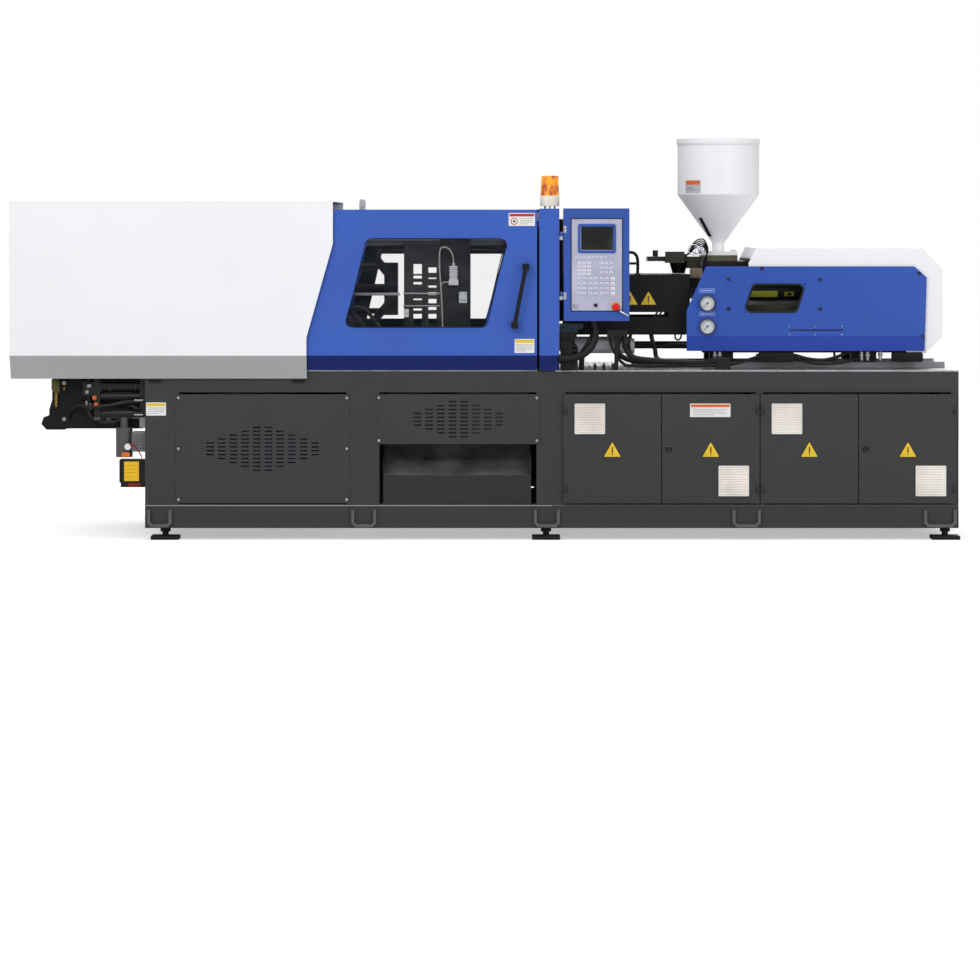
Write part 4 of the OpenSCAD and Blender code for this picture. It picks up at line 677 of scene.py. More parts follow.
def sign_plate(name, x, z, front, head, body, slot="cover_white", ring=False, behind=False):
    """A white plate with a coloured head and rows of grey bars; with a red ring round a black dot if asked.
    Behind the machine, x counts to the right as someone there sees it."""
    tall, wide = z[1] - z[0], x[1] - x[0]
    left = x[0] + (0.42 if ring else 0.06) * wide
    ends = left + (x[1] - 0.05 * wide - left) * np.array([1.0, 0.92, 0.97, 0.6])
    levels = z[0] + tall * np.array([0.56, 0.42, 0.28, 0.14])
    head_x, head_z = (x[0] + 0.004, x[1] - 0.004), (z[1] - 0.27 * tall, z[1] - 0.004)
    parts = [field(x, z, front, corner=0.004), field(head_x, head_z, front, FILM + LIFT)]
    parts += [field((left, end), (low, low + 0.035 * tall), front, FILM + LIFT, 0.0008)
              for end, low in zip(ends, levels)]
    inks = [INK_WHITE, head] + [INK_GREY] * len(ends)
    if ring:
        place = (x[0] + 0.21 * wide, -front, z[0] + 0.36 * tall)
        reach = 0.27 * tall
        parts += [turned([(reach * share, 0), (reach * share, FILM + layer * LIFT)], place, "y")
                  for layer, share in enumerate((1, 0.76, 0.34), 1)]
        inks += [INK_RED, INK_WHITE, INK_BLACK]
    return piece(name, turned_round(parts) if behind else parts, body, slot, inks=inks)


def triangle(name, x, z, front, body, side=0.099, slot="cover_white", behind=False):
    """A yellow triangle, black border, bar over a dot. Its corners lie on a circle, a third of it apart."""
    turn = np.radians([-150, -30, 90])
    spokes = np.stack([np.cos(turn), np.sin(turn)], -1)
    centre = np.array([x, z])
    reach = side / np.sqrt(3)
    parts = [plate(centre + spokes * reach, (front, front + FILM), corner=0.004, edge=0.0002),
             plate(centre + spokes * reach * 0.86, (front, front + FILM + LIFT), corner=0.003, edge=0.0001),
             field((x - 0.0032, x + 0.0032), (z - 0.006, z + reach * 0.45), front, FILM + 2 * LIFT, 0.003),
             field((x - 0.0032, x + 0.0032), (z - 0.0155, z - 0.0095), front, FILM + 2 * LIFT, 0.003)]
    inks = [INK_BLACK, INK_YELLOW, INK_BLACK, INK_BLACK]
    return piece(name, turned_round(parts) if behind else parts, body, slot, inks=inks)


print("a film stands", FILM * 1000, "mm proud, and each layer on it", LIFT * 1000)

# %% Where they sit
DOOR_FRONT = 0.600
LEAF_FRONT = 0.570
LEAF_PITCH = 0.4935
LEAF_LEFT = 0.388
LEAF_WIDE = 0.489
sign_plate("door_plate_red", (0.113, 0.245), (1.575, 1.640), DOOR_FRONT, INK_RED, "front_door", ring=True)
sign_plate("door_plate_yellow", (0.143, 0.242), (0.940, 1.010), DOOR_FRONT, INK_YELLOW, "front_door")
sign_plate("bed_plate", (-1.7045, -1.6045), (0.624, 0.690), 0.550, INK_YELLOW, "root")
sign_plate("cabinet_plate", (1.022, 1.2245), (0.618, 0.6855), LEAF_FRONT, linear(222, 110, 40),
           "cabinet_door_2")
leaf_centres = LEAF_LEFT + LEAF_WIDE / 2 + LEAF_PITCH * np.arange(4)
for number, centre in enumerate(leaf_centres, 1):
    triangle(f"cabinet_triangle_{number}", centre, 0.443, LEAF_FRONT, f"cabinet_door_{number}")
print("plates and triangles:", len(made_pieces))

# %% [markdown]
# ## Bed: grilles, louvres, screws and treads
# Each cabinet door has a moulded plastic grille, clipped over a hole, whose slats lean so that drips run
# off. A striped bump would read as slats from the front only. So a slat is a leaning bar, repeated, inside
# a frame whose section runs once round the outline.

# %% Cabinet grilles
GRILLE_HALF = 0.0765
SLAT_PITCH = 0.0124
SLATS = 11
GRILLE_FINISH = grained("grille_plastic", linear(246, 238, 230), rough=0.5, grain=700, relief=0.15,
                        dust=0.2)
GRILLE_BACK = grained("grille_back", linear(214, 190, 172), rough=0.6, grain=500, relief=0.2, dust=0.4)


def square(x, z, half):
    """The corners of a square about (x, z), the right way round seen from the front."""
    return upright((x - half, x + half), (z - half, z + half))


def grille(name, x, z, body, front=LEAF_FRONT + 0.005):
    """A thin frame with a broad lower edge, and slats whose section leans out from its top to its drip."""
    frame_rows = [(0, front - 0.004), (0, front + 0.004), (0.002, front + 0.006), (0.005, front + 0.006),
                  (0.007, front + 0.004), (0.007, front - 0.004)]
    section = [(front + 0.0002, SLAT_PITCH * 0.5), (front + 0.0009, SLAT_PITCH * 0.5),
               (front + 0.0050, -SLAT_PITCH * 0.34), (front + 0.0044, -SLAT_PITCH * 0.40),
               (front + 0.0002, -SLAT_PITCH * 0.36)]
    half = GRILLE_HALF - 0.006
    rings = np.array([[(end, -depth, height) for depth, height in section] for end in (x + half, x - half)])
    top = z + GRILLE_HALF - 0.007
    levels = top - SLAT_PITCH * (np.arange(SLATS) + 0.5)
    slats = repeated(loft(rings), [(0, 0, level) for level in levels])
    lower = block((x - half, -front - 0.0050, z - half),
                  (x + half, -front - 0.0002, top - SLATS * SLAT_PITCH), "y", 0.001)
    backing = field((x - half, x + half), (z - half, z + half), front, 0.0008)
    piece(name, [rim(square(x, z, GRILLE_HALF), frame_rows, corner=0.005), slats, lower], body,
          "cover_white", GRILLE_FINISH)
    piece(name + "_back", [backing], body, "cover_white", GRILLE_BACK)


for number, left in enumerate(LEAF_LEFT + LEAF_PITCH * np.arange(4), 1):
    upper = number in (1, 3)
    x = left + 0.132 if upper else left + LEAF_WIDE - 0.130
    grille(f"grille_{number}", x, 0.609 if upper else 0.298, f"cabinet_door_{number}")
print("grilles have", SLATS, "slats each")

# %% [markdown]
# The vents are rows of short slots that a punch cuts on one side and pushes out on the other, which leaves
# a small hood over each. A boolean cut would do for the slot, and the frame has it. The hood is a quarter
# of a flattened ellipsoid, and its copies, well over a hundred, have a few dozen faces each.

# %% Louvre hoods and panel screws
def hood(half=0.0195, high=0.0062, proud=0.0026, across=9, steps=4):
    """Rows x = half sin u; section y = -proud c cos v, z = high c sin v, c = cos u; its back is flat."""
    u = np.linspace(-np.pi / 2 * 0.97, np.pi / 2 * 0.97, across)[:, None]
    v = np.linspace(0, np.pi / 2, steps)
    c = np.cos(u)
    x = np.broadcast_to(half * np.sin(u), (across, steps))
    y, z = -proud * c * np.cos(v), high * c * np.sin(v)
    flat = np.stack([x[:, :1], 0 * x[:, :1], 0 * x[:, :1]], -1)
    return loft(np.concatenate([np.stack([x, y, z], -1), flat], 1))


def diamond(x, z, counts, step_x=0.0585, step_z=0.0195):
    """Places of the slots in columns of so many, centred on (x, z), as the punch left them."""
    columns = np.repeat(np.arange(len(counts)) - (len(counts) - 1) / 2, counts)
    rows = np.concatenate([np.arange(n) - (n - 1) / 2 for n in counts])
    return np.stack([x + columns * step_x, np.full(len(rows), -0.5531), z + rows * step_z + 0.0034], -1)


large = diamond(-1.120, 0.458, (4, 6, 8, 10, 12, 12, 10, 8, 6, 4))
small = diamond(-0.139, 0.606, (4, 6, 8, 10, 10, 8, 6, 4))
piece("louvre_hoods", [repeated(hood(), np.concatenate([large, small]))], "root", "bed_grey")
panel_screws = [(x, -0.558, z) for x in (-1.542, -0.698) for z in (0.203, 0.458, 0.713)]
panel_screws += [(x, -0.558, z) for x in (-0.537, 0.255) for z in (0.499, 0.713)]
SCREW_FINISH = metal("screw_zinc", linear(205, 206, 208), rough=0.28, lay=(1, 1, 1), oil=0.1)
piece("panel_screw_heads", [repeated(screw_head(0.0075), panel_screws)], "root", "bright_steel",
      SCREW_FINISH)
print("hoods", len(large) + len(small), "screws", len(panel_screws))

# %% [markdown]
# Behind the control box one stands on a tread plate, rolled with raised lens shapes that cross each other
# at right angles. Bump alone would leave the plate's edge line dead straight against the light, so each
# lens is a low dome over an ellipse: height = h (1 - r^2), where r is 1 on the ellipse.

# %% Deck treads
def lens(long=0.013, wide=0.0035, high=0.0012):
    """Four rings, each (long cos t, wide sin t) times sqrt(1 - 0.97 s) at the height s times high."""
    t = np.linspace(0, 2 * np.pi, 8, endpoint=False)
    level = np.array([0.0, 0.5, 0.85, 1.0])
    shrink = np.sqrt(1 - level * 0.97)[:, None]
    rise = np.broadcast_to((high * level)[:, None], (4, 8))
    return loft(np.stack([long * shrink * np.cos(t), wide * shrink * np.sin(t), rise], -1))


def treads(x, y, z, pitch=0.034):
    """Lenses on a grid, every other one turned a quarter: x and y swap on those."""
    gx, gy = np.meshgrid(np.arange(x[0], x[1], pitch), np.arange(y[0], y[1], pitch))
    odd = (np.indices(gx.shape).sum(0) % 2).astype(bool)
    spots = np.stack([gx, gy, np.full(gx.shape, z)], -1)
    points, faces = lens()
    swapped = points[:, [1, 0, 2]] * (-1, 1, 1)
    return [repeated((points, faces), spots[odd]), repeated((swapped, faces), spots[~odd])]


deck_low, deck_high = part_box("bed_deck")
tread_spots = treads((0.362, 2.36), (-0.540, -0.40), 0.851) + treads((0.362, 2.36), (0.40, 0.545), 0.851)
tread_spots += treads((0.362, 1.06), (-0.40, 0.40), 0.851)
piece("deck_treads", tread_spots, "root", "deck_steel")
print("deck from", list(deck_low), "to", list(deck_high))

# %% [markdown]
# Along the top of the base rail runs a narrow ledge, worn pale by boots and pallets; its pale grey is also
# the highlight it catches, painted in. A painted line would vanish from above. It is a long bar with
# softened edges, brighter on the operator's side of the clamp than under the cabinets, where the painted
# highlight is dimmer.

# %% Ledge of the base rail
RAIL_TOP = 0.1748
WORN_HIGHLIGHT_EDGE = paint("ledge_worn_highlight", linear(166, 166, 165), rough=0.45, wear=1.0, dust=0.4)
ledge = block((-1.7085, -0.5532, RAIL_TOP - 0.0045), (0.330, -0.5498, RAIL_TOP), "y", 0.001, 0.0006)
piece("rail_ledge", [ledge], "root", "frame_dark", WORN_HIGHLIGHT_EDGE)
# Under the cabinets the ledge is darker: a dimmer painted highlight, with wear.
DIM_HIGHLIGHT_EDGE = paint("ledge_dim_highlight", linear(104, 104, 104), rough=0.5, wear=1.0, dust=0.5)
ledge = block((0.331, -0.5532, RAIL_TOP - 0.0040), (2.3690, -0.5498, RAIL_TOP), "y", 0.001, 0.0006)
piece("rail_ledge_dull", [ledge], "root", "frame_dark", DIM_HIGHLIGHT_EDGE)
print("ledge at", RAIL_TOP)

# %% [markdown]
# ## Doors and beacon
# The window is a polycarbonate sheet held behind the door in a black rubber section. A black outline in the
# paint would stay flat from the side. So the section runs once round the window's corners, as `rim` does.

# %% Window seals
WINDOW = [(-0.702, 1.068), (0.002, 1.068), (0.105, 1.512), (-0.597, 1.512)]
WINDOW_CORNER = 0.033
SEAL = [(-0.002, 0.600), (-0.002, 0.6014), (-0.001, 0.6024), (0.0016, 0.6024), (0.003, 0.601),
        (0.003, 0.5972)]
RUBBER = grained("seal_rubber", linear(10, 10, 11), rough=0.5, grain=900, relief=0.2, dust=0.1)


def mirrored(corners):
    """The same outline as someone behind the machine sees it: x changes sign, and the order turns round."""
    return [(-x, z) for x, z in reversed(corners)]


piece("front_window_seal", [rim(WINDOW, SEAL, "y", WINDOW_CORNER)], "front_door", "hose_black", RUBBER)
piece("rear_window_seal", [rim(mirrored(WINDOW), SEAL, "back", WINDOW_CORNER)], "rear_door", "hose_black",
      RUBBER)
print("seal corners", WINDOW)

# %% [markdown]
# Inside the rear door a black frame hides the upper edge and the left edge of its window, so the
# daylight behind the machine shows only lower down. It is painted shade: three dark strips bolted to the
# door, standing in for the shade at the window's edges.

# %% Strips of painted shade inside the doors
STRIP_LOW = 1.425
top_strip = block((-0.690, 0.586, STRIP_LOW), (0.140, 0.5915, 1.535), "y", 0.004, 0.001)
side_strip = plate([(-0.730, 1.045), (-0.645, 1.045), (-0.534, 1.530), (-0.620, 1.530)], (-0.5905, -0.5875))
low_strip = block((-0.740, 0.586, 1.035), (0.020, 0.5915, 1.080), "y", 0.004, 0.001)
piece("rear_door_shade_strips", [top_strip, side_strip, low_strip], "rear_door", "guard_black")
# The stiffeners in the print below are these strips of painted shade.
print("stiffeners hide the rear window above", STRIP_LOW)

# %% [markdown]
# The beacon's lens is moulded with upright ribs that break up its light, over a cream base with a cream
# band. Ribs are a radius that swings with the angle: r = r0 + a cos(n t), carried up a short profile.

# %% Beacon
BEACON = (0.320, -0.550)
LENS_LOW, LENS_HIGH, LENS_R = 1.7275, 1.8265, 0.0470
RIBS = 36


def ribbed(profile, place, ribs, depth):
    """A profile of (radius, height) whose radius swings with the angle: r - depth (1 - cos(n t)) / 2."""
    radius, height = np.array(profile, float).T
    t = np.linspace(0, 2 * np.pi, ribs * 6, endpoint=False)
    swing = depth * (1 - np.cos(ribs * t)) / 2
    reach = np.maximum(radius[:, None] - swing, 1e-4)
    rings = np.stack([reach * np.cos(t), reach * np.sin(t), np.broadcast_to(height[:, None], reach.shape)],
                     -1)
    return loft(rings + np.array([*place, 0.0]))


lens_rows = [(LENS_R, LENS_LOW), (LENS_R, LENS_LOW + 0.004), (LENS_R * 0.985, LENS_LOW + 0.006),
             (LENS_R * 0.90, LENS_HIGH - 0.010), (LENS_R * 0.89, LENS_HIGH - 0.003),
             (LENS_R * 0.86, LENS_HIGH), (LENS_R * 0.1, LENS_HIGH)]
# The lens glows a little in its own orange, brighter and darker with the swirl: a painted glow.
LENS_PAINTED_GLOW, tree, shader = new_material("beacon_lens")
swirl = tree.noise(30, 3, (1, 1, 0.6)).between(0.46, 0.60)
join_up(tree, shader, Base_Color=tree.mixed(swirl, linear(255, 158, 4), linear(176, 66, 8)),
        Roughness=0.14 + swirl * 0.06, Alpha=0.90 - swirl * 0.06, Emission_Strength=0.32,
        Emission_Color=tree.mixed(swirl, linear(255, 172, 10), linear(110, 34, 0)))
beacon = piece("beacon_cap", [ribbed(lens_rows, BEACON, RIBS, 0.0016)], "root", "beacon_orange", LENS_PAINTED_GLOW)
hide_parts("beacon_lens")
band = turned([(0.0472, 1.6745), (0.0482, 1.6760), (0.0482, 1.7255), (0.0472, 1.7270), (0.0450, 1.7270),
               (0.0450, 1.6745)],
              (*BEACON, 0), around=40)
piece("beacon_band", [band], "root", "beacon_cream")
bulb = turned([(0.004, 1.729), (0.009, 1.733), (0.0125, 1.752), (0.011, 1.766), (0.006, 1.775), (0, 1.778)],
              (*BEACON, 0))
BULB = clear("beacon_bulb_glass", linear(255, 214, 120), 0.85, rough=0.1)
piece("beacon_bulb", [bulb], "beacon_reflector", "mirror_metal", BULB)
print("lens ribs", RIBS)

# %% [markdown]
# ## Control box
# The face is a lilac film over a steel plate, with a dark display in a blue surround and some sixty
# short-stroke keys. Keys that are only drawn look painted on when light rakes them. Each is a low dome: a
# rounded square whose rim is drawn in as it rises, with a small darker bar on it: painted shade, low on the
# key.

# %% Keys, their painted shade marks and display
FACE = 0.606
FACE_X = (0.423, 0.685)
FACE_Z = (1.147, 1.615)
KEY_RISE = 0.0024
KEY_WHITE = linear(232, 232, 240)
KEY_GREY = linear(212, 211, 229)
# Colour of the darker bar on each key: painted shade.
KEY_SHADE_MARK = linear(142, 138, 172)


def keys(x, z, columns, rows, wide, tall, pitch_x, pitch_z):
    """Key places of one block, and one key of that size: the block's lower left key sits at x, z."""
    grid = np.indices((columns, rows)).reshape(2, -1).T * (pitch_x, pitch_z)
    places = np.stack([grid[:, 0] + x, np.zeros(len(grid)), grid[:, 1] + z], -1)
    return block((0, -FACE - KEY_RISE, 0), (wide, -FACE + 0.0002, tall), "y", 0.0035, 0.0012), places


def key_shade_marks(places, wide, tall, share=0.5):
    """A short darker bar on each key, proud of its top: painted shade on the key."""
    bar_low = ((1 - share) / 2 * wide, -FACE - KEY_RISE - 0.0002, 0.20 * tall)
    bar_high = ((1 + share) / 2 * wide, -FACE - KEY_RISE + 0.0003, 0.42 * tall)
    return repeated(block(bar_low, bar_high, "y", 0.0008, 0.0001, 1), places)


motion = (0.021, 0.018, 0.025, 0.0245)
blocks = {
    "function": ((0.4425, 1.4095, 8, 1, 0.016, 0.015, 0.021, 0.020), KEY_GREY),
    "number": ((0.4575, 1.3275, 3, 4, 0.019, 0.014, 0.024, 0.018), KEY_WHITE),
    "arrow": ((0.5705, 1.3315, 3, 3, 0.018, 0.018, 0.023, 0.023), KEY_GREY),
    "clamp": ((0.4555, 1.2275, 2, 4, *motion), KEY_GREY),
    "ejector": ((0.5115, 1.2275, 2, 4, *motion), KEY_GREY),
    "inject": ((0.5675, 1.2275, 2, 4, *motion), KEY_GREY),
    "carriage": ((0.6235, 1.2275, 1, 4, *motion), KEY_WHITE),
}
parts, inks = [], []
for (x, z, columns, rows, wide, tall, px, pz), colour in blocks.values():
    key, places = keys(x, z, columns, rows, wide, tall, px, pz)
    parts += [repeated(key, places), key_shade_marks(places, wide, tall)]
    inks += [colour, KEY_SHADE_MARK]
# A dark navy rim in the recess round the fascia is painted shade: it stands in for the recess's shadow along
# the fascia's edges.
RECESS_SHADE_ROWS = [(0.0, 0.6062), (0.0, 0.6090), (0.0016, 0.6094), (0.0040, 0.6090), (0.0048, 0.6078),
          (0.0048, 0.6062)]
RECESS_SHADE_FINISH = grained("fascia_recess_shade", linear(22, 26, 60), rough=0.6, grain=900, relief=0.2, dust=0.1)
piece("fascia_recess_shade_rim", [rim(upright((0.4232, 0.6848), (1.1472, 1.6148)), RECESS_SHADE_ROWS, "y", 0.004)],
      "control_box", "hose_black", RECESS_SHADE_FINISH)
piece("control_keys", parts, "control_box", "fascia_lilac", inks=inks)
surround = [(0, FACE), (0, FACE + 0.0045), (0.002, FACE + 0.0058), (0.011, FACE + 0.0058),
            (0.0145, FACE + 0.0035), (0.0145, FACE + 0.0015)]
screen = upright((0.4595, 0.6495), (1.4395, 1.5855))
piece("screen_surround", [rim(screen, surround, "y", 0.011)], "control_box", "machine_blue")
DARK_GLASS = grained("display_glass", linear(22, 23, 24), rough=0.2, grain=40, relief=0.02, wear=0.0,
                     dust=0.0)
piece("display",
      [block((0.4735, -FACE - 0.0032, 1.4535), (0.6375, -FACE - 0.0018, 1.5745), "y", 0.004, 0.0004)],
      "control_box", "needle_black", DARK_GLASS)
# A black rim round the edge of the face is painted shade, the dark gap round the fascia.
face_shade_rim = [(-0.003, FACE - 0.001), (-0.003, FACE + 0.0006), (0.001, FACE + 0.0010),
             (0.002, FACE - 0.0004)]
piece("face_shade_rim", [rim(upright(FACE_X, FACE_Z), face_shade_rim, "y", 0.004)], "control_box", "hose_black",
      RUBBER)
print("keys", sum(c * r for (_, _, c, r, *_), _ in blocks.values()))

# %% [markdown]
# The stop button is a mushroom that a palm can hit, with a shallow groove round its head, on a yellow disc.
# Beside it are a key switch and a socket cap, and a lever handle by which the box is swung out.

# %% Stop button, switches and lever
STOP = (0.6485, 1.171)
mushroom = [(0.0178, 0), (0.0178, 0.0035), (0.0108, 0.004), (0.0108, 0.034), (0.0165, 0.0345),
            (0.0196, 0.0375), (0.0199, 0.0425), (0.0188, 0.0472), (0.0155, 0.0502), (0.009, 0.0515),
            (0, 0.0519)]
cap = piece("stop_mushroom", [turned(mushroom, (STOP[0], -0.588, STOP[1]), "y", 40)], "stop_button",
            "stop_red")
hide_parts("stop_button")
disc = [(0.0225, FACE), (0.0225, FACE + 0.0012), (0.0216, FACE + 0.0016), (0.0172, FACE + 0.0016),
        (0.0172, FACE)]
STOP_YELLOW = grained("stop_yellow", linear(226, 188, 24), rough=0.4, grain=900, relief=0.1)
piece("stop_disc",
      [loft(turned(disc, (STOP[0], 0, STOP[1]), "y", 40)[0].reshape(len(disc), 40, 3), shut=True)],
      "control_box", "stop_red", STOP_YELLOW)
switch = [(0.0095, FACE), (0.0095, FACE + 0.009), (0.0088, FACE + 0.0122), (0.0060, FACE + 0.0128),
          (0, FACE + 0.0128)]
slit = block((0.4422, -FACE - 0.0136, 1.172), (0.4438, -FACE - 0.0120, 1.182), "y", 0.0006, 0.0002)
piece("key_switch", [turned(switch, (0.443, 0, 1.177), "y")], "control_box", "bright_steel")
piece("key_slit", [slit], "control_box", "needle_black")
socket_cap = [(0.0090, FACE), (0.0090, FACE + 0.0105), (0.0080, FACE + 0.0126), (0, FACE + 0.0128)]
piece("socket_cap", [turned(socket_cap, (0.548, 0, 1.179), "y")], "control_box", "hose_black", RUBBER)
lever = hose([(0.661, -0.611, 1.1525), (0.668, -0.622, 1.149), (0.690, -0.632, 1.138),
              (0.7125, -0.638, 1.124)],
             0.0038, 0.004)
boss = turned([(0.0085, FACE), (0.0085, FACE + 0.008), (0.006, FACE + 0.0105), (0, FACE + 0.011)],
              (0.661, 0, 1.1525), "y")
piece("box_lever", [lever], "control_box", "bright_steel")
piece("lever_boss", [boss], "control_box", "guard_black")
print("stop button at", STOP)

# %% [markdown]
# The cables leave the box through a gland and a corrugated conduit, which enters the guard post. The box
# swings on its hinge; the conduit is one fixed curve from the post to the box, on no body. A conduit's
# rings are a radius that swings with the length along it.

# %% Conduit from the post to the box
conduit_run = [(0.541, -0.530, 1.086), (0.549, -0.538, 1.050), (0.542, -0.562, 1.002),
               (0.517, -0.583, 0.958), (0.476, -0.590, 0.927), (0.424, -0.590, 0.913),
               (0.360, -0.590, 0.910)]
conduit = piece("box_conduit", [hose(conduit_run, 0.0180, 0.0022, 20, ribs=0.0018, pitch=0.0092)], "root",
                "hose_black", sharp=80)
conduit.parent = None
del conduit["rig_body"]
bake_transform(conduit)
conduit_nut = [(0.024, 0.366), (0.024, 0.376), (0.0205, 0.380), (0.0205, 0.388)]
piece("conduit_nut", [turned(conduit_nut, (0, -0.590, 0.910), "x", 12)], "root", "guard_black")
print("conduit points", len(conduit.data.vertices))

# %% [markdown]
# ## Dials, labels and wires of the injection unit
# The two pressure gauges have hollow cases with needles of their own, which turn on their joints. What they
# lack is the printed dial behind the needle, the bezel and the glass. A dial could be one ringed disc, but
# a real one has a mark for each step over three quarters of a turn and a coloured arc where work is safe,
# so the marks are little plates placed round the centre by angle.

# %% Round frames, dials and labels wrapped round a cylinder
def hoop(rows, x, z, around=40):
    """A round frame facing the viewer: each row is (radius, level), and the last row joins the first."""
    radius, level = np.array(rows, float).T
    t = np.linspace(0, 2 * np.pi, around, endpoint=False)
    flat = np.array([x, z]) + radius[:, None, None] * np.stack([np.cos(t), np.sin(t)], -1)
    return loft(raised(flat, level, "y"), shut=True)


def sector(x, z, radius, turn, front, rise):
    """A small plate between two radii and two angles about (x, z), its corners at r (cos t, sin t)."""
    t = np.radians([turn[0], turn[0], turn[1], turn[1]])
    r = np.array([radius[0], radius[1], radius[1], radius[0]])
    corners = np.stack([x + r * np.cos(t), z + r * np.sin(t)], -1)
    return plate(corners, (front, front + rise), corner=0.0002, edge=0.0001, steps=1)


def wrapped(place, axis, radius, turn, span, thick=0.001, steps=14):
    """A label round a cylinder: a strip of this thickness from one turn about the axis to the other."""
    t = np.radians(np.linspace(*turn, steps + 1))
    out = np.stack([np.cos(t), np.sin(t)], -1)[:, None]
    reach = np.array([radius, radius, radius + thick, radius + thick])[None, :, None]
    along = np.array([span[0], span[1], span[1], span[0]])[None, :, None]
    flat = np.concatenate([out * reach, np.broadcast_to(along, (len(t), 4, 1))], -1)
    return loft(flat @ np.array(AXES[axis], float) + np.array(place, float))


print("a label bends in", len(wrapped((0, 0, 0), "z", 1, (0, 90), (0, 1))[0]) // 4 - 1, "steps")

# %% The two gauges
GAUGE_X = 1.120
GAUGE_BACK = 0.386
MARKS, FIRST_MARK, MARK_STEP = 21, -45, 13.5
BEZEL_ROWS = [(0.0355, 0.4000), (0.0402, 0.4000), (0.0412, 0.4015), (0.0408, 0.4040), (0.0385, 0.4052),
              (0.0362, 0.4036)]
INK_GREEN = linear(40, 150, 70)
INK_SKY = linear(168, 190, 238)
INK_COBALT = linear(66, 104, 196)
DARK_RING = paint("gauge_ring", linear(52, 54, 58), rough=0.35, wear=0.4, dust=0.1, shine=0.4)
DIAL_GLASS = clear("dial_glass", linear(236, 240, 240), 0.05, rough=0.02, smears=0.03)
for name, z in {"lower": 1.066, "upper": 1.183}.items():
    disc = turned([(0.0355, 0), (0.0355, 0.0008)], (GAUGE_X, -GAUGE_BACK, z), "y", 40)
    turns = [FIRST_MARK + MARK_STEP * step for step in range(MARKS)]
    marks = [sector(GAUGE_X, z, (0.024 if step % 5 else 0.021, 0.0285), (turn - 1, turn + 1), GAUGE_BACK,
                    FILM)
             for step, turn in enumerate(turns)]
    safe = [sector(GAUGE_X, z, (0.0295, 0.032), (start, start + 15), GAUGE_BACK, FILM)
            for start in range(60, 150, 15)]
    inks = [INK_WHITE] + [INK_BLACK] * len(marks) + [INK_GREEN] * len(safe)
    piece(f"gauge_dial_{name}", [disc] + marks + safe, "carriage", "fascia_lilac", inks=inks)
    piece(f"gauge_bezel_{name}", [hoop(BEZEL_ROWS, GAUGE_X, z)], "carriage", "frame_dark", DARK_RING)
    piece(f"gauge_glass_{name}", [turned([(0.0360, 0.3998), (0.0360, 0.4012)], (GAUGE_X, 0, z), "y", 40)],
          "carriage", "window_clear", DIAL_GLASS)
    tag = [field(span, (z + low, z + high), 0.384, FILM + layer * LIFT)
           for layer, (span, low, high) in enumerate((((1.080, 1.158), 0.053, 0.075),
                                                      ((1.0815, 1.1565), 0.0545, 0.0735),
                                                      ((1.088, 1.150), 0.0620, 0.0660)))]
    piece(f"gauge_tag_{name}", tag, "carriage", "cover_white", inks=[INK_SKY, INK_COBALT, INK_SKY])
print("a gauge's marks", len(marks), "and arc", len(safe))

# %% [markdown]
# Screws hold the guard, and small bright ones the slotted strip. They are one mesh each kind: the same ring
# profile repeated at each place. The cylinders behind the window carry a yellow arrow label and a band.

# %% Screws and labels of the guard
GUARD_FRONT, STRIP_FRONT = 0.386, 0.382
guard_screws = [(1.228, 1.306), (1.228, 1.156), (1.691, 1.303), (1.691, 1.154), (1.396, 1.360),
                (2.192, 1.334), (2.212, 1.018)]
piece("guard_screw_heads",
      [repeated(screw_head(0.0085, 0.0035), [(x, -GUARD_FRONT, z) for x, z in guard_screws])], "carriage",
      "frame_dark")
strip_screws = [(x, -STRIP_FRONT, z) for x in (1.536, 1.667, 1.802) for z in (1.0655, 1.025)]
piece("strip_screw_heads", [repeated(screw_head(0.0038, 0.0022), strip_screws)], "carriage", "bright_steel")
CYLINDER = (0, -0.165, 1.250)
CYLINDER_OUT = 0.0603
OLIVE = linear(190, 188, 50)
piece("cylinder_label", [wrapped(CYLINDER, "x", CYLINDER_OUT, (187, 219), (1.351, 1.489)),
                         wrapped(CYLINDER, "x", CYLINDER_OUT, (191, 214), (1.525, 1.573)),
                         wrapped(CYLINDER, "x", CYLINDER_OUT + 0.0002, (196, 209), (1.538, 1.560), 0.0013)],
      "carriage", "fascia_lilac", inks=[OLIVE, OLIVE, INK_BLACK])
for number, x in enumerate((0.734, 0.828), 1):
    triangle(f"barrel_triangle_{number}", x, 1.196, 0.250, "carriage", 0.090, "guard_black")
print("screws in the guard and its strip", len(guard_screws), len(strip_screws))

# %% [markdown]
# The hoop over the barrel guard carries the heater cables. Cables hang in curves, so each is a circle
# carried along a smooth route; a straight cylinder would look like a rod.

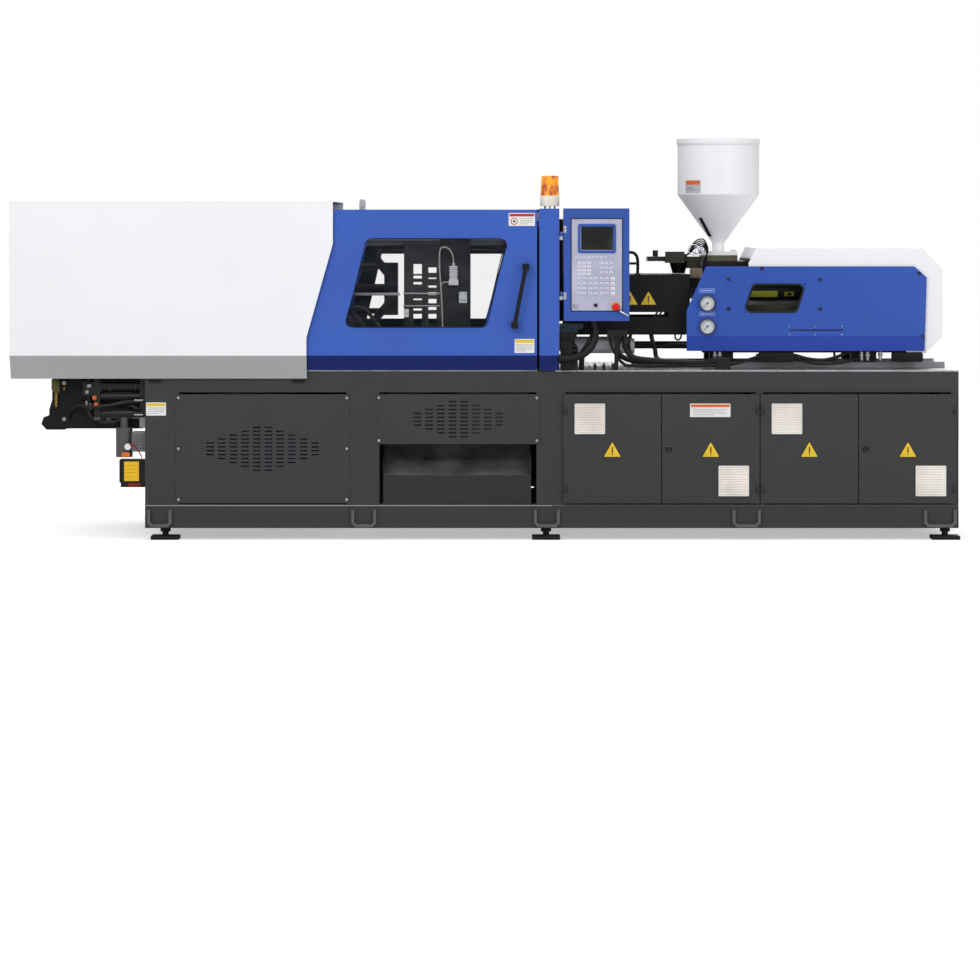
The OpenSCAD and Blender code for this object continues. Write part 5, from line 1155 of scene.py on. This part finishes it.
# %% The hoop and the cables
CABLE_GREY = grained("cable_grey", linear(66, 68, 70), rough=0.5, grain=900, relief=0.25, dust=0.15)
hoop_bar = [(0.600, -0.2, 1.326), (0.600, -0.2, 1.400), (0.612, -0.2, 1.430), (0.640, -0.2, 1.440),
            (0.735, -0.2, 1.440), (0.763, -0.2, 1.430), (0.775, -0.2, 1.400), (0.775, -0.2, 1.326)]
piece("cable_hoop", [hose(hoop_bar, 0.008, 0.006, 14), bar((0.600, -0.2, 1.383), "x", 0.175, 0.0065),
                     bar((0.600, -0.2, 1.327), "z", 0.005, 0.016),
                     bar((0.775, -0.2, 1.327), "z", 0.005, 0.016)], "carriage", "guard_black")
slide_wires = [hose([(1.016, -0.130 - 0.006 * k, 1.428 - 0.009 * k),
                     (1.040, -0.132 - 0.006 * k, 1.430 + 0.004 * k),
                     (1.072, -0.130 - 0.006 * k, 1.462 + 0.011 * k),
                     (1.104 + 0.004 * k, -0.128 - 0.005 * k, 1.478 + 0.009 * k),
                     (1.130 + 0.003 * k, -0.126 - 0.004 * k, 1.450),
                     (1.132 - 0.004 * k, -0.124 - 0.004 * k, 1.400), (1.122, -0.122 - 0.004 * k, 1.340)],
                    0.0035, 0.008, 8) for k in range(4)]
piece("slide_wires", slide_wires, "carriage", "hose_black")
heater_cables = [hose([(0.845 + 0.02 * k, -0.2, 1.045), (0.850 + 0.02 * k, -0.205, 1.090),
                       (0.885 + 0.02 * k, -0.2, 1.150), (0.905 + 0.02 * k, -0.2, 1.200)], 0.005, 0.008, 8)
                 for k in range(2)]
piece("heater_cables", heater_cables, "carriage", "hose_black", CABLE_GREY)
piece("hanging_cable", [hose([(0.968, -0.215, 1.030), (0.966, -0.216, 1.005), (0.978, -0.217, 0.992),
                              (0.994, -0.216, 1.002), (0.998, -0.215, 1.030)], 0.0045, 0.006, 8)],
      "carriage", "hose_black")
COIL_PITCH = 0.004
COIL_START = 0.6


def coil(x, z, radius, turns, y, points=14):
    """A cable laid up in rings: (x + r cos t, y - a pitch for each turn, z + r sin t)."""
    return [(x + radius * np.cos(t), y - COIL_PITCH * t / (2 * np.pi), z + radius * np.sin(t))
            for t in np.linspace(COIL_START, 2 * np.pi * turns + COIL_START, int(points * turns))]


PALE_CABLE = grained("cable_white", linear(226, 226, 228), rough=0.4, grain=900, relief=0.15, dust=0.1)
NAVY_CABLE = grained("cable_navy", linear(26, 40, 104), rough=0.4, grain=900, relief=0.15, dust=0.1)
piece("throat_cables_white", [hose(coil(1.064, 1.452, 0.027, 2.2, -0.150), 0.0028, 0.005, 8),
                              hose(coil(1.094, 1.446, 0.021, 1.8, -0.158), 0.0024, 0.005, 8)], "carriage",
      "cover_white", PALE_CABLE)
piece("throat_cables_navy", [hose(coil(1.078, 1.457, 0.024, 1.6, -0.144), 0.0026, 0.005, 8),
                             hose(coil(1.104, 1.452, 0.017, 1.4, -0.152), 0.0022, 0.005, 8)], "carriage",
      "hose_black", NAVY_CABLE)
print("cables", len(slide_wires) + len(heater_cables) + 1)

# %% [markdown]
# ## Hopper
# The bin is spun sheet, welded up one side and clamped with a rolled band. Its label follows the curve, and
# a dark sight strip runs up the cone. A flat strip laid on a cone would cut into it or stand off, so the
# strip's rings are set along one line of the cone, each turned to the tangent there.

# %% Label, sight strip, bands and screws
HOPPER = (1.200, 0, 0)
HOPPER_SHELL = 0.2102
bin_label = [wrapped(HOPPER, "z", HOPPER_SHELL, turn, span, thick) for turn, span, thick in (
    ((213.6, 241), (1.743, 1.810), 0.0010), ((214.4, 240.2), (1.786, 1.807), 0.0014),
    ((216, 230), (1.768, 1.773), 0.0014), ((216, 236), (1.757, 1.762), 0.0014))]
piece("bin_label", bin_label, "hopper", "cover_white",
      inks=[linear(196, 198, 200), linear(226, 112, 40), INK_GREY, INK_GREY])


def cone_strip(angle, low, high, width, thick):
    """A strip up a cone: each ring's middle lies at (r cos a, r sin a, z), with half a width along the
    tangent to each side, and is raised by the thickness along the cone's outward normal."""
    a = np.radians(angle)
    out, tangent = np.array([np.cos(a), np.sin(a), 0]), np.array([-np.sin(a), np.cos(a), 0])
    share = np.linspace(0, 1, 9)[:, None, None]
    start, end = [np.array([*(radius * out[:2]), level]) for radius, level in (low, high)]
    middle = (1 - share) * start + share * end
    slope = np.array([*(high[0] - low[0]) * out[:2], high[1] - low[1]])
    normal = np.cross(tangent, slope / np.linalg.norm(slope))
    corners = np.array([(-0.5, 0), (0.5, 0), (0.5, 1), (-0.5, 1)])
    ring = corners[:, :1] * width * tangent + corners[:, 1:] * thick * normal
    return loft((middle + ring)[:, ::-1] + np.array(HOPPER))


sight = [cone_strip(270 - 51, (0.0560, 1.523), (0.1240, 1.617), 0.022, 0.004)]
piece("sight_strip", sight, "hopper", "needle_black")
BAND_LEVEL = 1.990
band_profile = [(0.2098, 0), (0.2128, 0.002), (0.2128, 0.010), (0.2098, 0.012)]
t = np.linspace(0, 2 * np.pi, 72, endpoint=False)
circle = np.stack([np.cos(t), np.sin(t), np.zeros(72)], -1)
belt = loft(np.stack([r * circle + np.array([0, 0, z]) for r, z in band_profile]) +
            np.array([HOPPER[0], 0, BAND_LEVEL]), shut=True)
seam_low, seam_high = (HOPPER[0] + 0.2095, -0.004, 1.742), (HOPPER[0] + 0.2115, 0.004, 1.988)
seam = block(seam_low, seam_high, "x", 0.0009, 0.0004, 1)
piece("bin_bands", [belt, seam], "hopper", "cover_white")
BOLT_OUT = 0.078
flange_bolts = [turned([(0.0075, 0), (0.0075, 0.004), (0.0068, 0.005)],
                       (HOPPER[0] + u * BOLT_OUT, v * BOLT_OUT, 1.4455), "z", 6)
                for u in (-1, 1) for v in (-1, 1)]
piece("flange_bolts", flange_bolts, "hopper", "bright_steel")
print("hopper pieces", [one.name for one in made_pieces[-3:]])

# %% [markdown]
# ## Cooler, motor and lubricator
# The oil cooler and its valves hang at the left end, mostly black and oily, with a few bright fittings. The
# small parts are what make it read as plumbing: hexagon nuts, orange plugs, a dial and cooling fins. They
# are blocks and turned profiles set on the CAD's solids, so that nothing floats.

# %% Fittings at the left end
CAP_ORANGE = grained("cap_orange", linear(226, 110, 30), rough=0.4, grain=700, relief=0.15, dust=0.1)
OLIVE_ZINC = metal("olive_zinc", linear(112, 106, 70), rough=0.4, oil=0.4)
BRASS = metal("brass", linear(176, 140, 72), rough=0.3, oil=0.35)
ALLOY = metal("alloy", linear(170, 172, 174), rough=0.34, oil=0.3)
HOUSING_FRONT = 0.425
bracket = [(-2.180, 0.732), (-2.154, 0.732), (-2.154, 0.801), (-2.194, 0.801), (-2.194, 0.750)]
piece("cooler_bracket", [plate(bracket, (HOUSING_FRONT, HOUSING_FRONT + 0.006), corner=0.002)], "root",
      "motor_grey", OLIVE_ZINC)
HEX_NUT = [(0.0125, 0), (0.0125, 0.011), (0.011, 0.013)]
bright_bits = [turned(HEX_NUT, (-2.129, -HOUSING_FRONT, 0.782), "y", 6),
               turned(HEX_NUT, (-2.129, -HOUSING_FRONT, 0.600), "y", 6),
               turned(HEX_NUT, (-1.905, -HOUSING_FRONT, 0.600), "y", 6),
               turned([(0.014, 0), (0.015, 0.003), (0.012, 0.009), (0.006, 0.012)], (-1.996, -0.494, 0.772),
                      "y", 24),
               turned([(0.0115, 0), (0.0115, 0.008), (0.009, 0.010)], (-2.006, -0.494, 0.740), "y", 6),
               bar((-2.010, -0.486, 0.655), "z", 0.040, 0.0075),
               bar((-1.990, -0.486, 0.650), "z", 0.034, 0.005),
               bar((-1.768, -0.512, 0.699), "x", 0.046, 0.006),
               bar((-1.768, -0.512, 0.626), "x", 0.046, 0.006)]
piece("cooler_fittings", bright_bits, "root", "bright_steel", ALLOY)
rods = [bar((-2.169, -0.434, 0.661), "z", 0.073, 0.008), bar((-2.169, -0.434, 0.700), "z", 0.016, 0.0105),
        bar((-2.129, -0.432, 0.742), "z", 0.022, 0.005)]
piece("cooler_rods", rods, "root", "bright_steel", BRASS)
plug = [(0.011, 0), (0.012, 0.004), (0.012, 0.012), (0.008, 0.016)]
plugs = [turned(plug, (x, -0.502, z), "y", 20) for x, z in ((-1.968, 0.711), (-1.960, 0.676))]
plugs += [block((-1.831, -0.522, 0.414), (-1.789, -0.511, 0.437), "y", 0.006, 0.003)]
piece("cooler_plugs", plugs, "root", "beacon_orange", CAP_ORANGE)
fins = [block((x, -0.521, 0.443), (x + 0.0028, -0.515, 0.537), "y", 0.001, 0.0006)
        for x in -1.779 + 0.0062 * np.arange(10)]
piece("motor_fins", fins, "root", "motor_grey", ALLOY)
dial_x, dial_z = -1.800, 0.466
dial = [turned([(0.0175, 0), (0.019, 0.0015), (0.019, 0.004)], (dial_x, -0.516, dial_z), "y", 32),
        turned([(0.0165, 0), (0.0165, 0.0015)], (dial_x, -0.520, dial_z), "y", 32)]
dial_marks = [sector(dial_x, dial_z, (0.0125, 0.0155), (a, a + 4), 0.520, 0.0022)
              for a in range(-45, 226, 45)]
hand = sector(dial_x, dial_z, (0.0, 0.0125), (130, 136), 0.520, 0.0026)
piece("motor_dial", dial + dial_marks + [hand], "root", "fascia_lilac",
      inks=[INK_BLACK, INK_WHITE] + [INK_BLACK] * (len(dial_marks) + 1))
label = [field((-1.817, -1.743), (0.294, 0.392), 0.524)]
label += [field((-1.810, right), (z, z + 0.0035), 0.524, FILM + LIFT, 0.0008)
          for right, z in zip((-1.752, -1.764, -1.755, -1.770), (0.370, 0.352, 0.334, 0.316))]
piece("lubricator_label", label, "root", "fascia_lilac",
      inks=[linear(244, 196, 14)] + [linear(206, 156, 12)] * 4)
piece("lubricator_foot", [block((-1.797, -0.517, 0.2640), (-1.733, -0.514, 0.2840), "y", 0.004, 0.0015)],
      "root", "stop_red", grained("foot_red", linear(130, 26, 20), rough=0.4, grain=500))
print("fittings", len(bright_bits), "fins", len(fins), "marks on the dial", len(dial_marks))

# %% Hoses at the left end
cooler_hoses = [hose([(-2.000, -0.470, 0.690), (-2.002, -0.478, 0.655), (-1.985, -0.486, 0.615),
                      (-1.930, -0.487, 0.590), (-1.870, -0.480, 0.588), (-1.836, -0.472, 0.600)], 0.011,
                     0.01, 10, 0.0006, 0.009),
                hose([(-2.110, -0.437, 0.600), (-2.100, -0.452, 0.640), (-2.060, -0.462, 0.668),
                      (-1.990, -0.512, 0.664), (-1.900, -0.514, 0.672), (-1.800, -0.512, 0.690),
                      (-1.745, -0.505, 0.690)], 0.009, 0.01, 10),
                hose([(-1.822, -0.470, 0.612), (-1.815, -0.474, 0.650), (-1.790, -0.500, 0.672),
                      (-1.760, -0.512, 0.660), (-1.736, -0.505, 0.650)], 0.008, 0.01, 10)]
piece("cooler_hoses", cooler_hoses, "root", "hose_black")
wires = [hose([(-1.790, -0.522, 0.476 + 0.006 * k), (-1.770, -0.527, 0.470 + 0.006 * k),
               (-1.752, -0.526, 0.452), (-1.735, -0.522, 0.430 - 0.006 * k), (-1.728, -0.518, 0.405)],
              0.0022, 0.008, 6) for k in range(2)]
piece("motor_wires", wires, "root", "hose_black",
      grained("wire_red", linear(150, 36, 30), rough=0.45, grain=900))
print("left end pieces", len(cooler_hoses) + len(wires))

# %% [markdown]
# ## Behind the window
# The photo looks right through the clamp: black castings, hoses and brackets, and white wall in the gaps.
# The castings are the CAD's. Here come the bracket with the ejector's hoses, which rides the moving platen,
# the stroke sensor's rail on the still frame, and the valve. The bracket is one set of bars: a cut-out
# sheet would do from the front, but bars also look right through the other door.

# %% Ejector bracket, valve and sensor rail
def bars(spans, y, corner=0.003):
    """Upright blocks from (x0, x1, z0, z1) rows, all between the same two y."""
    return [block((x0, y[0], z0), (x1, y[1], z1), "y", corner, 0.0015) for x0, x1, z0, z1 in spans]


BLACK_PAINT = paint("bracket_black", linear(20, 21, 22), rough=0.5, wear=0.3, dust=0.2)
bracket_y = (-0.329, -0.300)
columns = [(-0.417, -0.369, 0.985, 1.490), (-0.326, -0.293, 0.985, 1.490), (-0.252, -0.2325, 0.985, 1.490)]
left_bars = [(-0.371, -0.324, low, high) for low, high in
             ((1.381, 1.490), (1.322, 1.331), (1.290, 1.308), (1.206, 1.278), (1.172, 1.198),
              (1.156, 1.163), (1.128, 1.145))]
right_bars = [(-0.295, -0.250, low, high) for low, high in
              ((1.364, 1.490), (1.312, 1.337), (1.272, 1.306), (1.238, 1.262), (1.204, 1.224),
               (1.164, 1.182), (1.128, 1.148))]
piece("ejector_bracket", bars(columns + left_bars + right_bars, bracket_y), "moving_platen", "frame_dark",
      BLACK_PAINT)
piece("bracket_tag", [field((-0.4155, -0.3925), (1.112, 1.153), 0.3290),
                      field((-0.4120, -0.3960), (1.128, 1.131), 0.3290, FILM + LIFT)], "moving_platen",
      "fascia_lilac", inks=[INK_WHITE, INK_GREY])
rods = [bar((-0.4205, -0.334, z), "x", 0.186, 0.0048) for z in (1.231, 1.168)]
piece("ejector_rods", rods, "moving_platen", "bright_steel", ALLOY)
valve_rows = [block((-0.188 + 0.002 * (k % 2), -0.366, 1.300 + 0.0105 * k),
                    (-0.142 - 0.002 * (k % 2), -0.326, 1.3085 + 0.0105 * k), "z", 0.004, 0.001)
              for k in range(7)]
# The valve's steel is partly its own bright steel, partly painted light: paler to make up for the shade
# inside the clamp.
VALVE_STEEL_PAINTED_LIGHT = metal("valve_steel_painted_light", linear(232, 233, 236), rough=0.45, oil=0.1)
valve_rows += [block((-0.190, -0.362, 1.274), (-0.140, -0.326, 1.301), "y", 0.003, 0.0015),
               bar((-0.165, -0.345, 1.372), "z", 0.016, 0.009)]
piece("ejector_valve", valve_rows, "moving_platen", "bright_steel", VALVE_STEEL_PAINTED_LIGHT)
platen_tag = [field((-0.137, -0.097), (1.184, 1.240), 0.3255),
              field((-0.131, -0.103), (1.196, 1.201), 0.3255, FILM + LIFT)]
platen_tag += [turned([(0.003, 0), (0.003, 0.002)], (x, -0.3255, 1.231), "y", 12) for x in (-0.130, -0.104)]
# The tag's first ink is partly its own white, partly painted light: lifted to make up for the shade inside
# the clamp.
piece("platen_tag", platen_tag, "moving_platen", "fascia_lilac",
      inks=[linear(226, 236, 236), INK_GREY, INK_BLACK, INK_BLACK])
cable_run = [(-0.165, -0.340, 1.386), (-0.168, -0.337, 1.420), (-0.185, -0.3335, 1.455),
             (-0.215, -0.3335, 1.468), (-0.234, -0.3335, 1.450), (-0.237, -0.3335, 1.380),
             (-0.232, -0.3335, 1.300), (-0.226, -0.3335, 1.220), (-0.222, -0.3335, 1.120),
             (-0.220, -0.3335, 1.000)]
CABLE_PALE = grained("cable_pale", linear(196, 190, 178), rough=0.5, grain=900, relief=0.2, dust=0.2)
piece("platen_cables", [hose(cable_run, 0.0035, 0.01, 8),
                        hose([(-0.190, -0.345, 1.288), (-0.206, -0.342, 1.290), (-0.222, -0.3375, 1.284),
                              (-0.231, -0.3375, 1.262)], 0.003, 0.008, 8)], "moving_platen", "hose_black",
      CABLE_PALE)

sensor = [block((-0.812, -0.352, 1.222), (-0.437, -0.340, 1.236), "x", 0.002, 0.001),
          block((-0.812, -0.354, 1.214), (-0.790, -0.325, 1.244), "y", 0.003, 0.001)]
piece("stroke_sensor", sensor, "root", "bright_steel", ALLOY)
clamp_hoses = [hose([(-0.806, -0.330, 1.205), (-0.760, -0.352, 1.195), (-0.690, -0.365, 1.150),
                     (-0.600, -0.372, 1.040), (-0.520, -0.375, 0.950), (-0.470, -0.375, 0.900),
                     (-0.455, -0.375, 0.848)], 0.010, 0.012, 10),
               hose([(-0.806, -0.330, 1.105), (-0.740, -0.368, 1.110), (-0.655, -0.388, 1.160),
                     (-0.590, -0.392, 1.130), (-0.520, -0.394, 1.010), (-0.490, -0.395, 0.920),
                     (-0.486, -0.395, 0.848)], 0.010, 0.012, 10)]
piece("clamp_hoses", clamp_hoses, "root", "hose_black")
print("behind the window:", [one.name for one in made_pieces[-7:]])

# %% [markdown]
# ## Under the box and the guard
# Below the control box a stepped black manifold and thick hoses fill the gap, and under the injection guard
# sit fittings, a black terminal box and more hoses. The deck's three studs stand by the chain of hoses. All
# are blocks, turned profiles and routes again: at this size a hexagon and a highlight say enough.

# %% Manifold, studs and hinge plates
TEAL_PAINT = paint("manifold_teal", linear(4, 30, 38), rough=0.4, wear=0.3, dust=0.1, shine=0.3)
crown = [block((0.370, -0.592, 1.040), (0.458, -0.566, 1.088), "y", 0.004, 0.002)]
crown += [plate([(0.458, 1.052), (0.486, 1.064), (0.486, 1.088), (0.458, 1.088)], (0.568, 0.590), "y",
                0.003, 0.002)]
piece("manifold_crown", crown, "root", "frame_dark", TEAL_PAINT)
steps = [((0.370, -0.590, 0.998), (0.444, -0.566, 1.039)), ((0.374, -0.594, 0.934), (0.432, -0.566, 0.997)),
         ((0.378, -0.588, 0.8505), (0.424, -0.566, 0.933))]
fittings = [bar((0.430, -0.580, z), "x", 0.022, 0.009) for z in (0.975, 0.950)]
fittings += [turned(HEX_NUT, (x, -0.590, z), "y", 6)
             for x, z in ((0.392, 1.020), (0.424, 1.020), (0.392, 0.970), (0.416, 0.950))]
piece("hose_manifold", [block(low, high, "y", 0.006, 0.002) for low, high in steps] + fittings, "root",
      "guard_black")
stud_heads = repeated(turned([(0.0065, 0), (0.0065, 0.006), (0.005, 0.0075)], (0, 0, 0), "z", 6),
                      [(x, -0.539, 0.881) for x in (0.5465, 0.5915, 0.6365)])
piece("deck_stud_heads", [stud_heads], "root", "bright_steel")
hinge_plates = [block((0.3870, -0.6125, low), (0.4010, -0.6102, high), "y", 0.002, 0.0006)
                for low, high in ((1.540, 1.575), (1.208, 1.243))]
hinge_screws = repeated(screw_head(0.0034, 0.0014),
                        [(0.3940, -0.6122, z) for z in (1.549, 1.566, 1.217, 1.234)])
piece("box_hinge_plates", hinge_plates + [hinge_screws], "control_box", "bright_steel")
strip = block((0.3660, -0.4300, 1.094), (0.3890, -0.4220, 1.610), "y", 0.003, 0.001)
piece("post_cover_strip", [strip], "root", "hose_black", RUBBER)
print("steps of the manifold", len(steps), "and its fittings", len(fittings))

# %% Under the injection guard
TAN = grained("ceramic_tan", linear(150, 128, 112), rough=0.6, grain=500, relief=0.25)
piece("terminal_block", [block((1.046, -0.120, 1.306), (1.112, -0.110, 1.358), "y", 0.004, 0.0015),
                         block((1.052, -0.124, 1.314), (1.070, -0.120, 1.350), "y", 0.003, 0.001),
                         block((1.078, -0.124, 1.314), (1.096, -0.120, 1.350), "y", 0.003, 0.001)],
      "carriage", "gear_grey", TAN)
terminal_box = [block((1.386, -0.372, 0.884), (1.560, -0.300, 0.934), "y", 0.006, 0.003),
                block((1.372, -0.360, 0.894), (1.386, -0.312, 0.926), "x", 0.005, 0.001),
                block((1.560, -0.360, 0.894), (1.574, -0.312, 0.926), "x", 0.005, 0.001)]
terminal_box += [block((2.060, -0.372, 0.886), (2.214, -0.300, 0.934), "y", 0.010, 0.003)]
terminal_box += [bar((1.470 + dx, -0.336, 0.930), "z", 0.060, 0.006) for dx in (-0.05, 0.05)]
piece("terminal_box", terminal_box, "carriage", "guard_black")
fitting = [(0.008, 0), (0.008, 0.020), (0.012, 0.021), (0.012, 0.034), (0.009, 0.036), (0.009, 0.044)]
guard_fittings = [turned(fitting, (x, -0.340, 0.893), "z", 6) for x in (1.160, 1.186, 1.905, 1.935, 2.000)]
piece("guard_fittings", guard_fittings, "carriage", "bright_steel")
guard_hoses = [hose([(1.160, -0.340, 0.900), (1.176, -0.350, 0.880), (1.240, -0.360, 0.874),
                     (1.310, -0.350, 0.890), (1.374, -0.340, 0.910)], 0.008, 0.01, 10),
               hose([(1.570, -0.345, 0.918), (1.640, -0.352, 0.900), (1.720, -0.352, 0.896),
                     (1.800, -0.345, 0.918), (1.850, -0.335, 0.945)], 0.009, 0.01, 10),
               hose([(1.570, -0.335, 0.902), (1.650, -0.345, 0.880), (1.740, -0.348, 0.876),
                     (1.820, -0.345, 0.884), (1.905, -0.340, 0.906)], 0.007, 0.01, 10),
               hose([(1.760, -0.330, 0.960), (1.768, -0.335, 0.925), (1.764, -0.338, 0.890),
                     (1.772, -0.340, 0.874)],
                    0.006, 0.01, 8)]
guard_hoses += [hose([(0.704, -0.225, 1.030), (0.676, -0.242, 0.990), (0.670, -0.262, 0.940),
                      (0.700, -0.276, 0.905), (0.770, -0.282, 0.886), (0.920, -0.286, 0.876),
                      (1.090, -0.310, 0.878), (1.160, -0.338, 0.893)],
                     0.0140, 0.010, 14),
                hose([(0.842, -0.225, 1.035), (0.846, -0.240, 1.000), (0.860, -0.262, 0.950),
                      (0.868, -0.276, 0.905), (0.900, -0.284, 0.884)], 0.0115, 0.010, 12),
                hose([(0.742, -0.225, 1.030), (0.728, -0.250, 0.985), (0.736, -0.268, 0.930),
                      (0.772, -0.276, 0.898)],
                     0.0080, 0.010, 10)]
piece("guard_hoses", guard_hoses, "carriage", "hose_black")
window_rim = [(-0.001, 0.3825), (-0.001, 0.3850), (0.007, 0.3850), (0.009, 0.3835), (0.009, 0.3825)]
guard_window = [(1.301, 1.136), (1.574, 1.136), (1.620, 1.282), (1.351, 1.282)]
piece("guard_window_rim", [rim(guard_window, window_rim, "y", 0.030)], "carriage", "hose_black", RUBBER)
backer = [(-0.016, 0.3788), (0.0025, 0.3788), (0.0025, 0.3775), (-0.016, 0.3775)]
piece("guard_window_corners", [rim(guard_window, backer, "y", 0.030)], "carriage", "guard_blue")
# A dark olive strip behind the lower part of the guard window is painted shade, standing in for the shade
# seen low in the window.
painted_shade_strip = block((1.320, -0.268, 1.136), (1.586, -0.262, 1.174), "y", 0.004, 0.001)
piece("cylinder_shade_strip", [painted_shade_strip], "carriage", "frame_dark",
      paint("olive_shade_sheet", linear(52, 56, 30), rough=0.5, shine=0.3))
print("under the guard", len(guard_fittings), "fittings")

# %% [markdown]
# ## Back and ends
# The photo shows only the front. The back is taken as its twin in plain form: screwed panels, bow handles
# to lift the covers off by, the same signs on the rear door, and screws along the covers' edges. All the
# tools above face the viewer, so a part for the back is made as if seen from there, then turned half round.

# %% Screws, handles and signs at the back
REAR_PANEL = 0.553
REAR_COVER = 0.620
REAR_HOOD = 0.400
panel_spans = [(-1.555, -0.685), (-0.550, 0.268), (0.388, 1.366), (1.376, 2.358)]
spots = [(-x, -REAR_PANEL - 0.0001, z) for low, high in panel_spans
         for x in (low + 0.016, (low + high) / 2, high - 0.016) for z in (0.203, 0.713)]
spots += [(-x, -REAR_PANEL - 0.0001, 0.458) for low, high in panel_spans
          for x in (low + 0.016, high - 0.016)]
piece("rear_panel_screws", turned_round([repeated(screw_head(0.0075), spots)]), "root", "bright_steel",
      SCREW_FINISH)
cover_spots = [(-x, -REAR_COVER, z) for x in np.linspace(-2.350, -0.930, 6) for z in (0.965, 1.668)]
piece("rear_cover_screws", turned_round([repeated(screw_head(0.0085, 0.0035), cover_spots)]), "root",
      "frame_dark")
hood_edge = [(1.352, 0.965), (1.660, 0.965), (1.960, 0.965), (2.200, 0.965),
             (1.400, 1.435), (1.800, 1.435), (2.200, 1.435), (2.288, 1.200)]
hood_spots = [(-x, -REAR_HOOD, z) for x, z in hood_edge]
piece("rear_hood_screws", turned_round([repeated(screw_head(0.0085, 0.0035), hood_spots)]), "carriage",
      "frame_dark")


def bow_handle(x, z, front, half=0.065, reach=0.024):
    """An upright bow: a round bar bent out of the sheet and back, on two shallow feet."""
    bend = [(x, -front, z - half), (x, -front - reach * 0.7, z - half), (x, -front - reach, z - half * 0.8),
            (x, -front - reach, z), (x, -front - reach, z + half * 0.8),
            (x, -front - reach * 0.7, z + half), (x, -front, z + half)]
    feet = [turned([(0.013, 0), (0.013, 0.003), (0.010, 0.005)], (x, -front, z + side * half), "y", 20)
            for side in (-1, 1)]
    return [hose(bend, 0.006, 0.004, 12)] + feet


piece("rear_cover_handles",
      turned_round(bow_handle(2.100, 1.300, REAR_COVER) + bow_handle(1.120, 1.300, REAR_COVER)), "root",
      "guard_black")
piece("rear_hood_handles",
      turned_round(bow_handle(-1.450, 1.200, REAR_HOOD) + bow_handle(-2.180, 1.180, REAR_HOOD)), "carriage",
      "guard_black")
sign_plate("rear_door_plate_red", (-0.245, -0.113), (1.575, 1.640), DOOR_FRONT, INK_RED, "rear_door",
           ring=True, behind=True)
sign_plate("rear_door_plate_yellow", (-0.242, -0.143), (0.940, 1.010), DOOR_FRONT, INK_YELLOW, "rear_door",
           behind=True)
triangle("rear_panel_triangle_1", -0.877, 0.443, REAR_PANEL, "root", behind=True)
triangle("rear_panel_triangle_2", -1.867, 0.443, REAR_PANEL, "root", behind=True)
triangle("rear_hood_triangle", -1.820, 1.260, REAR_HOOD, "carriage", behind=True)
print("screws behind", len(spots) + len(cover_spots) + len(hood_spots))

# %% [markdown]
# The two halves of the clamp cover meet over the middle, where a rubber strip keeps the dust out. It could
# be a painted line, but a real seal stands proud and catches light. So it is a low bar with softened edges
# along the joint over the top, and a thinner one down the end.

# %% Joint of the covers
COVER_TOP = 1.698
COVER_END = -2.380
joint = block((COVER_END + 0.004, -0.0060, COVER_TOP - 0.0002), (-0.769, 0.0060, COVER_TOP + 0.0022), "z",
              0.0035, 0.0012)
end_joint = block((COVER_END, -0.0009, 0.945), (COVER_END + 0.0030, 0.0009, COVER_TOP - 0.004), "x", 0.0008,
                  0.0003)
piece("cover_joint", [joint, end_joint], "root", "hose_black", RUBBER)
print("cover seal from", COVER_END, "at", COVER_TOP)
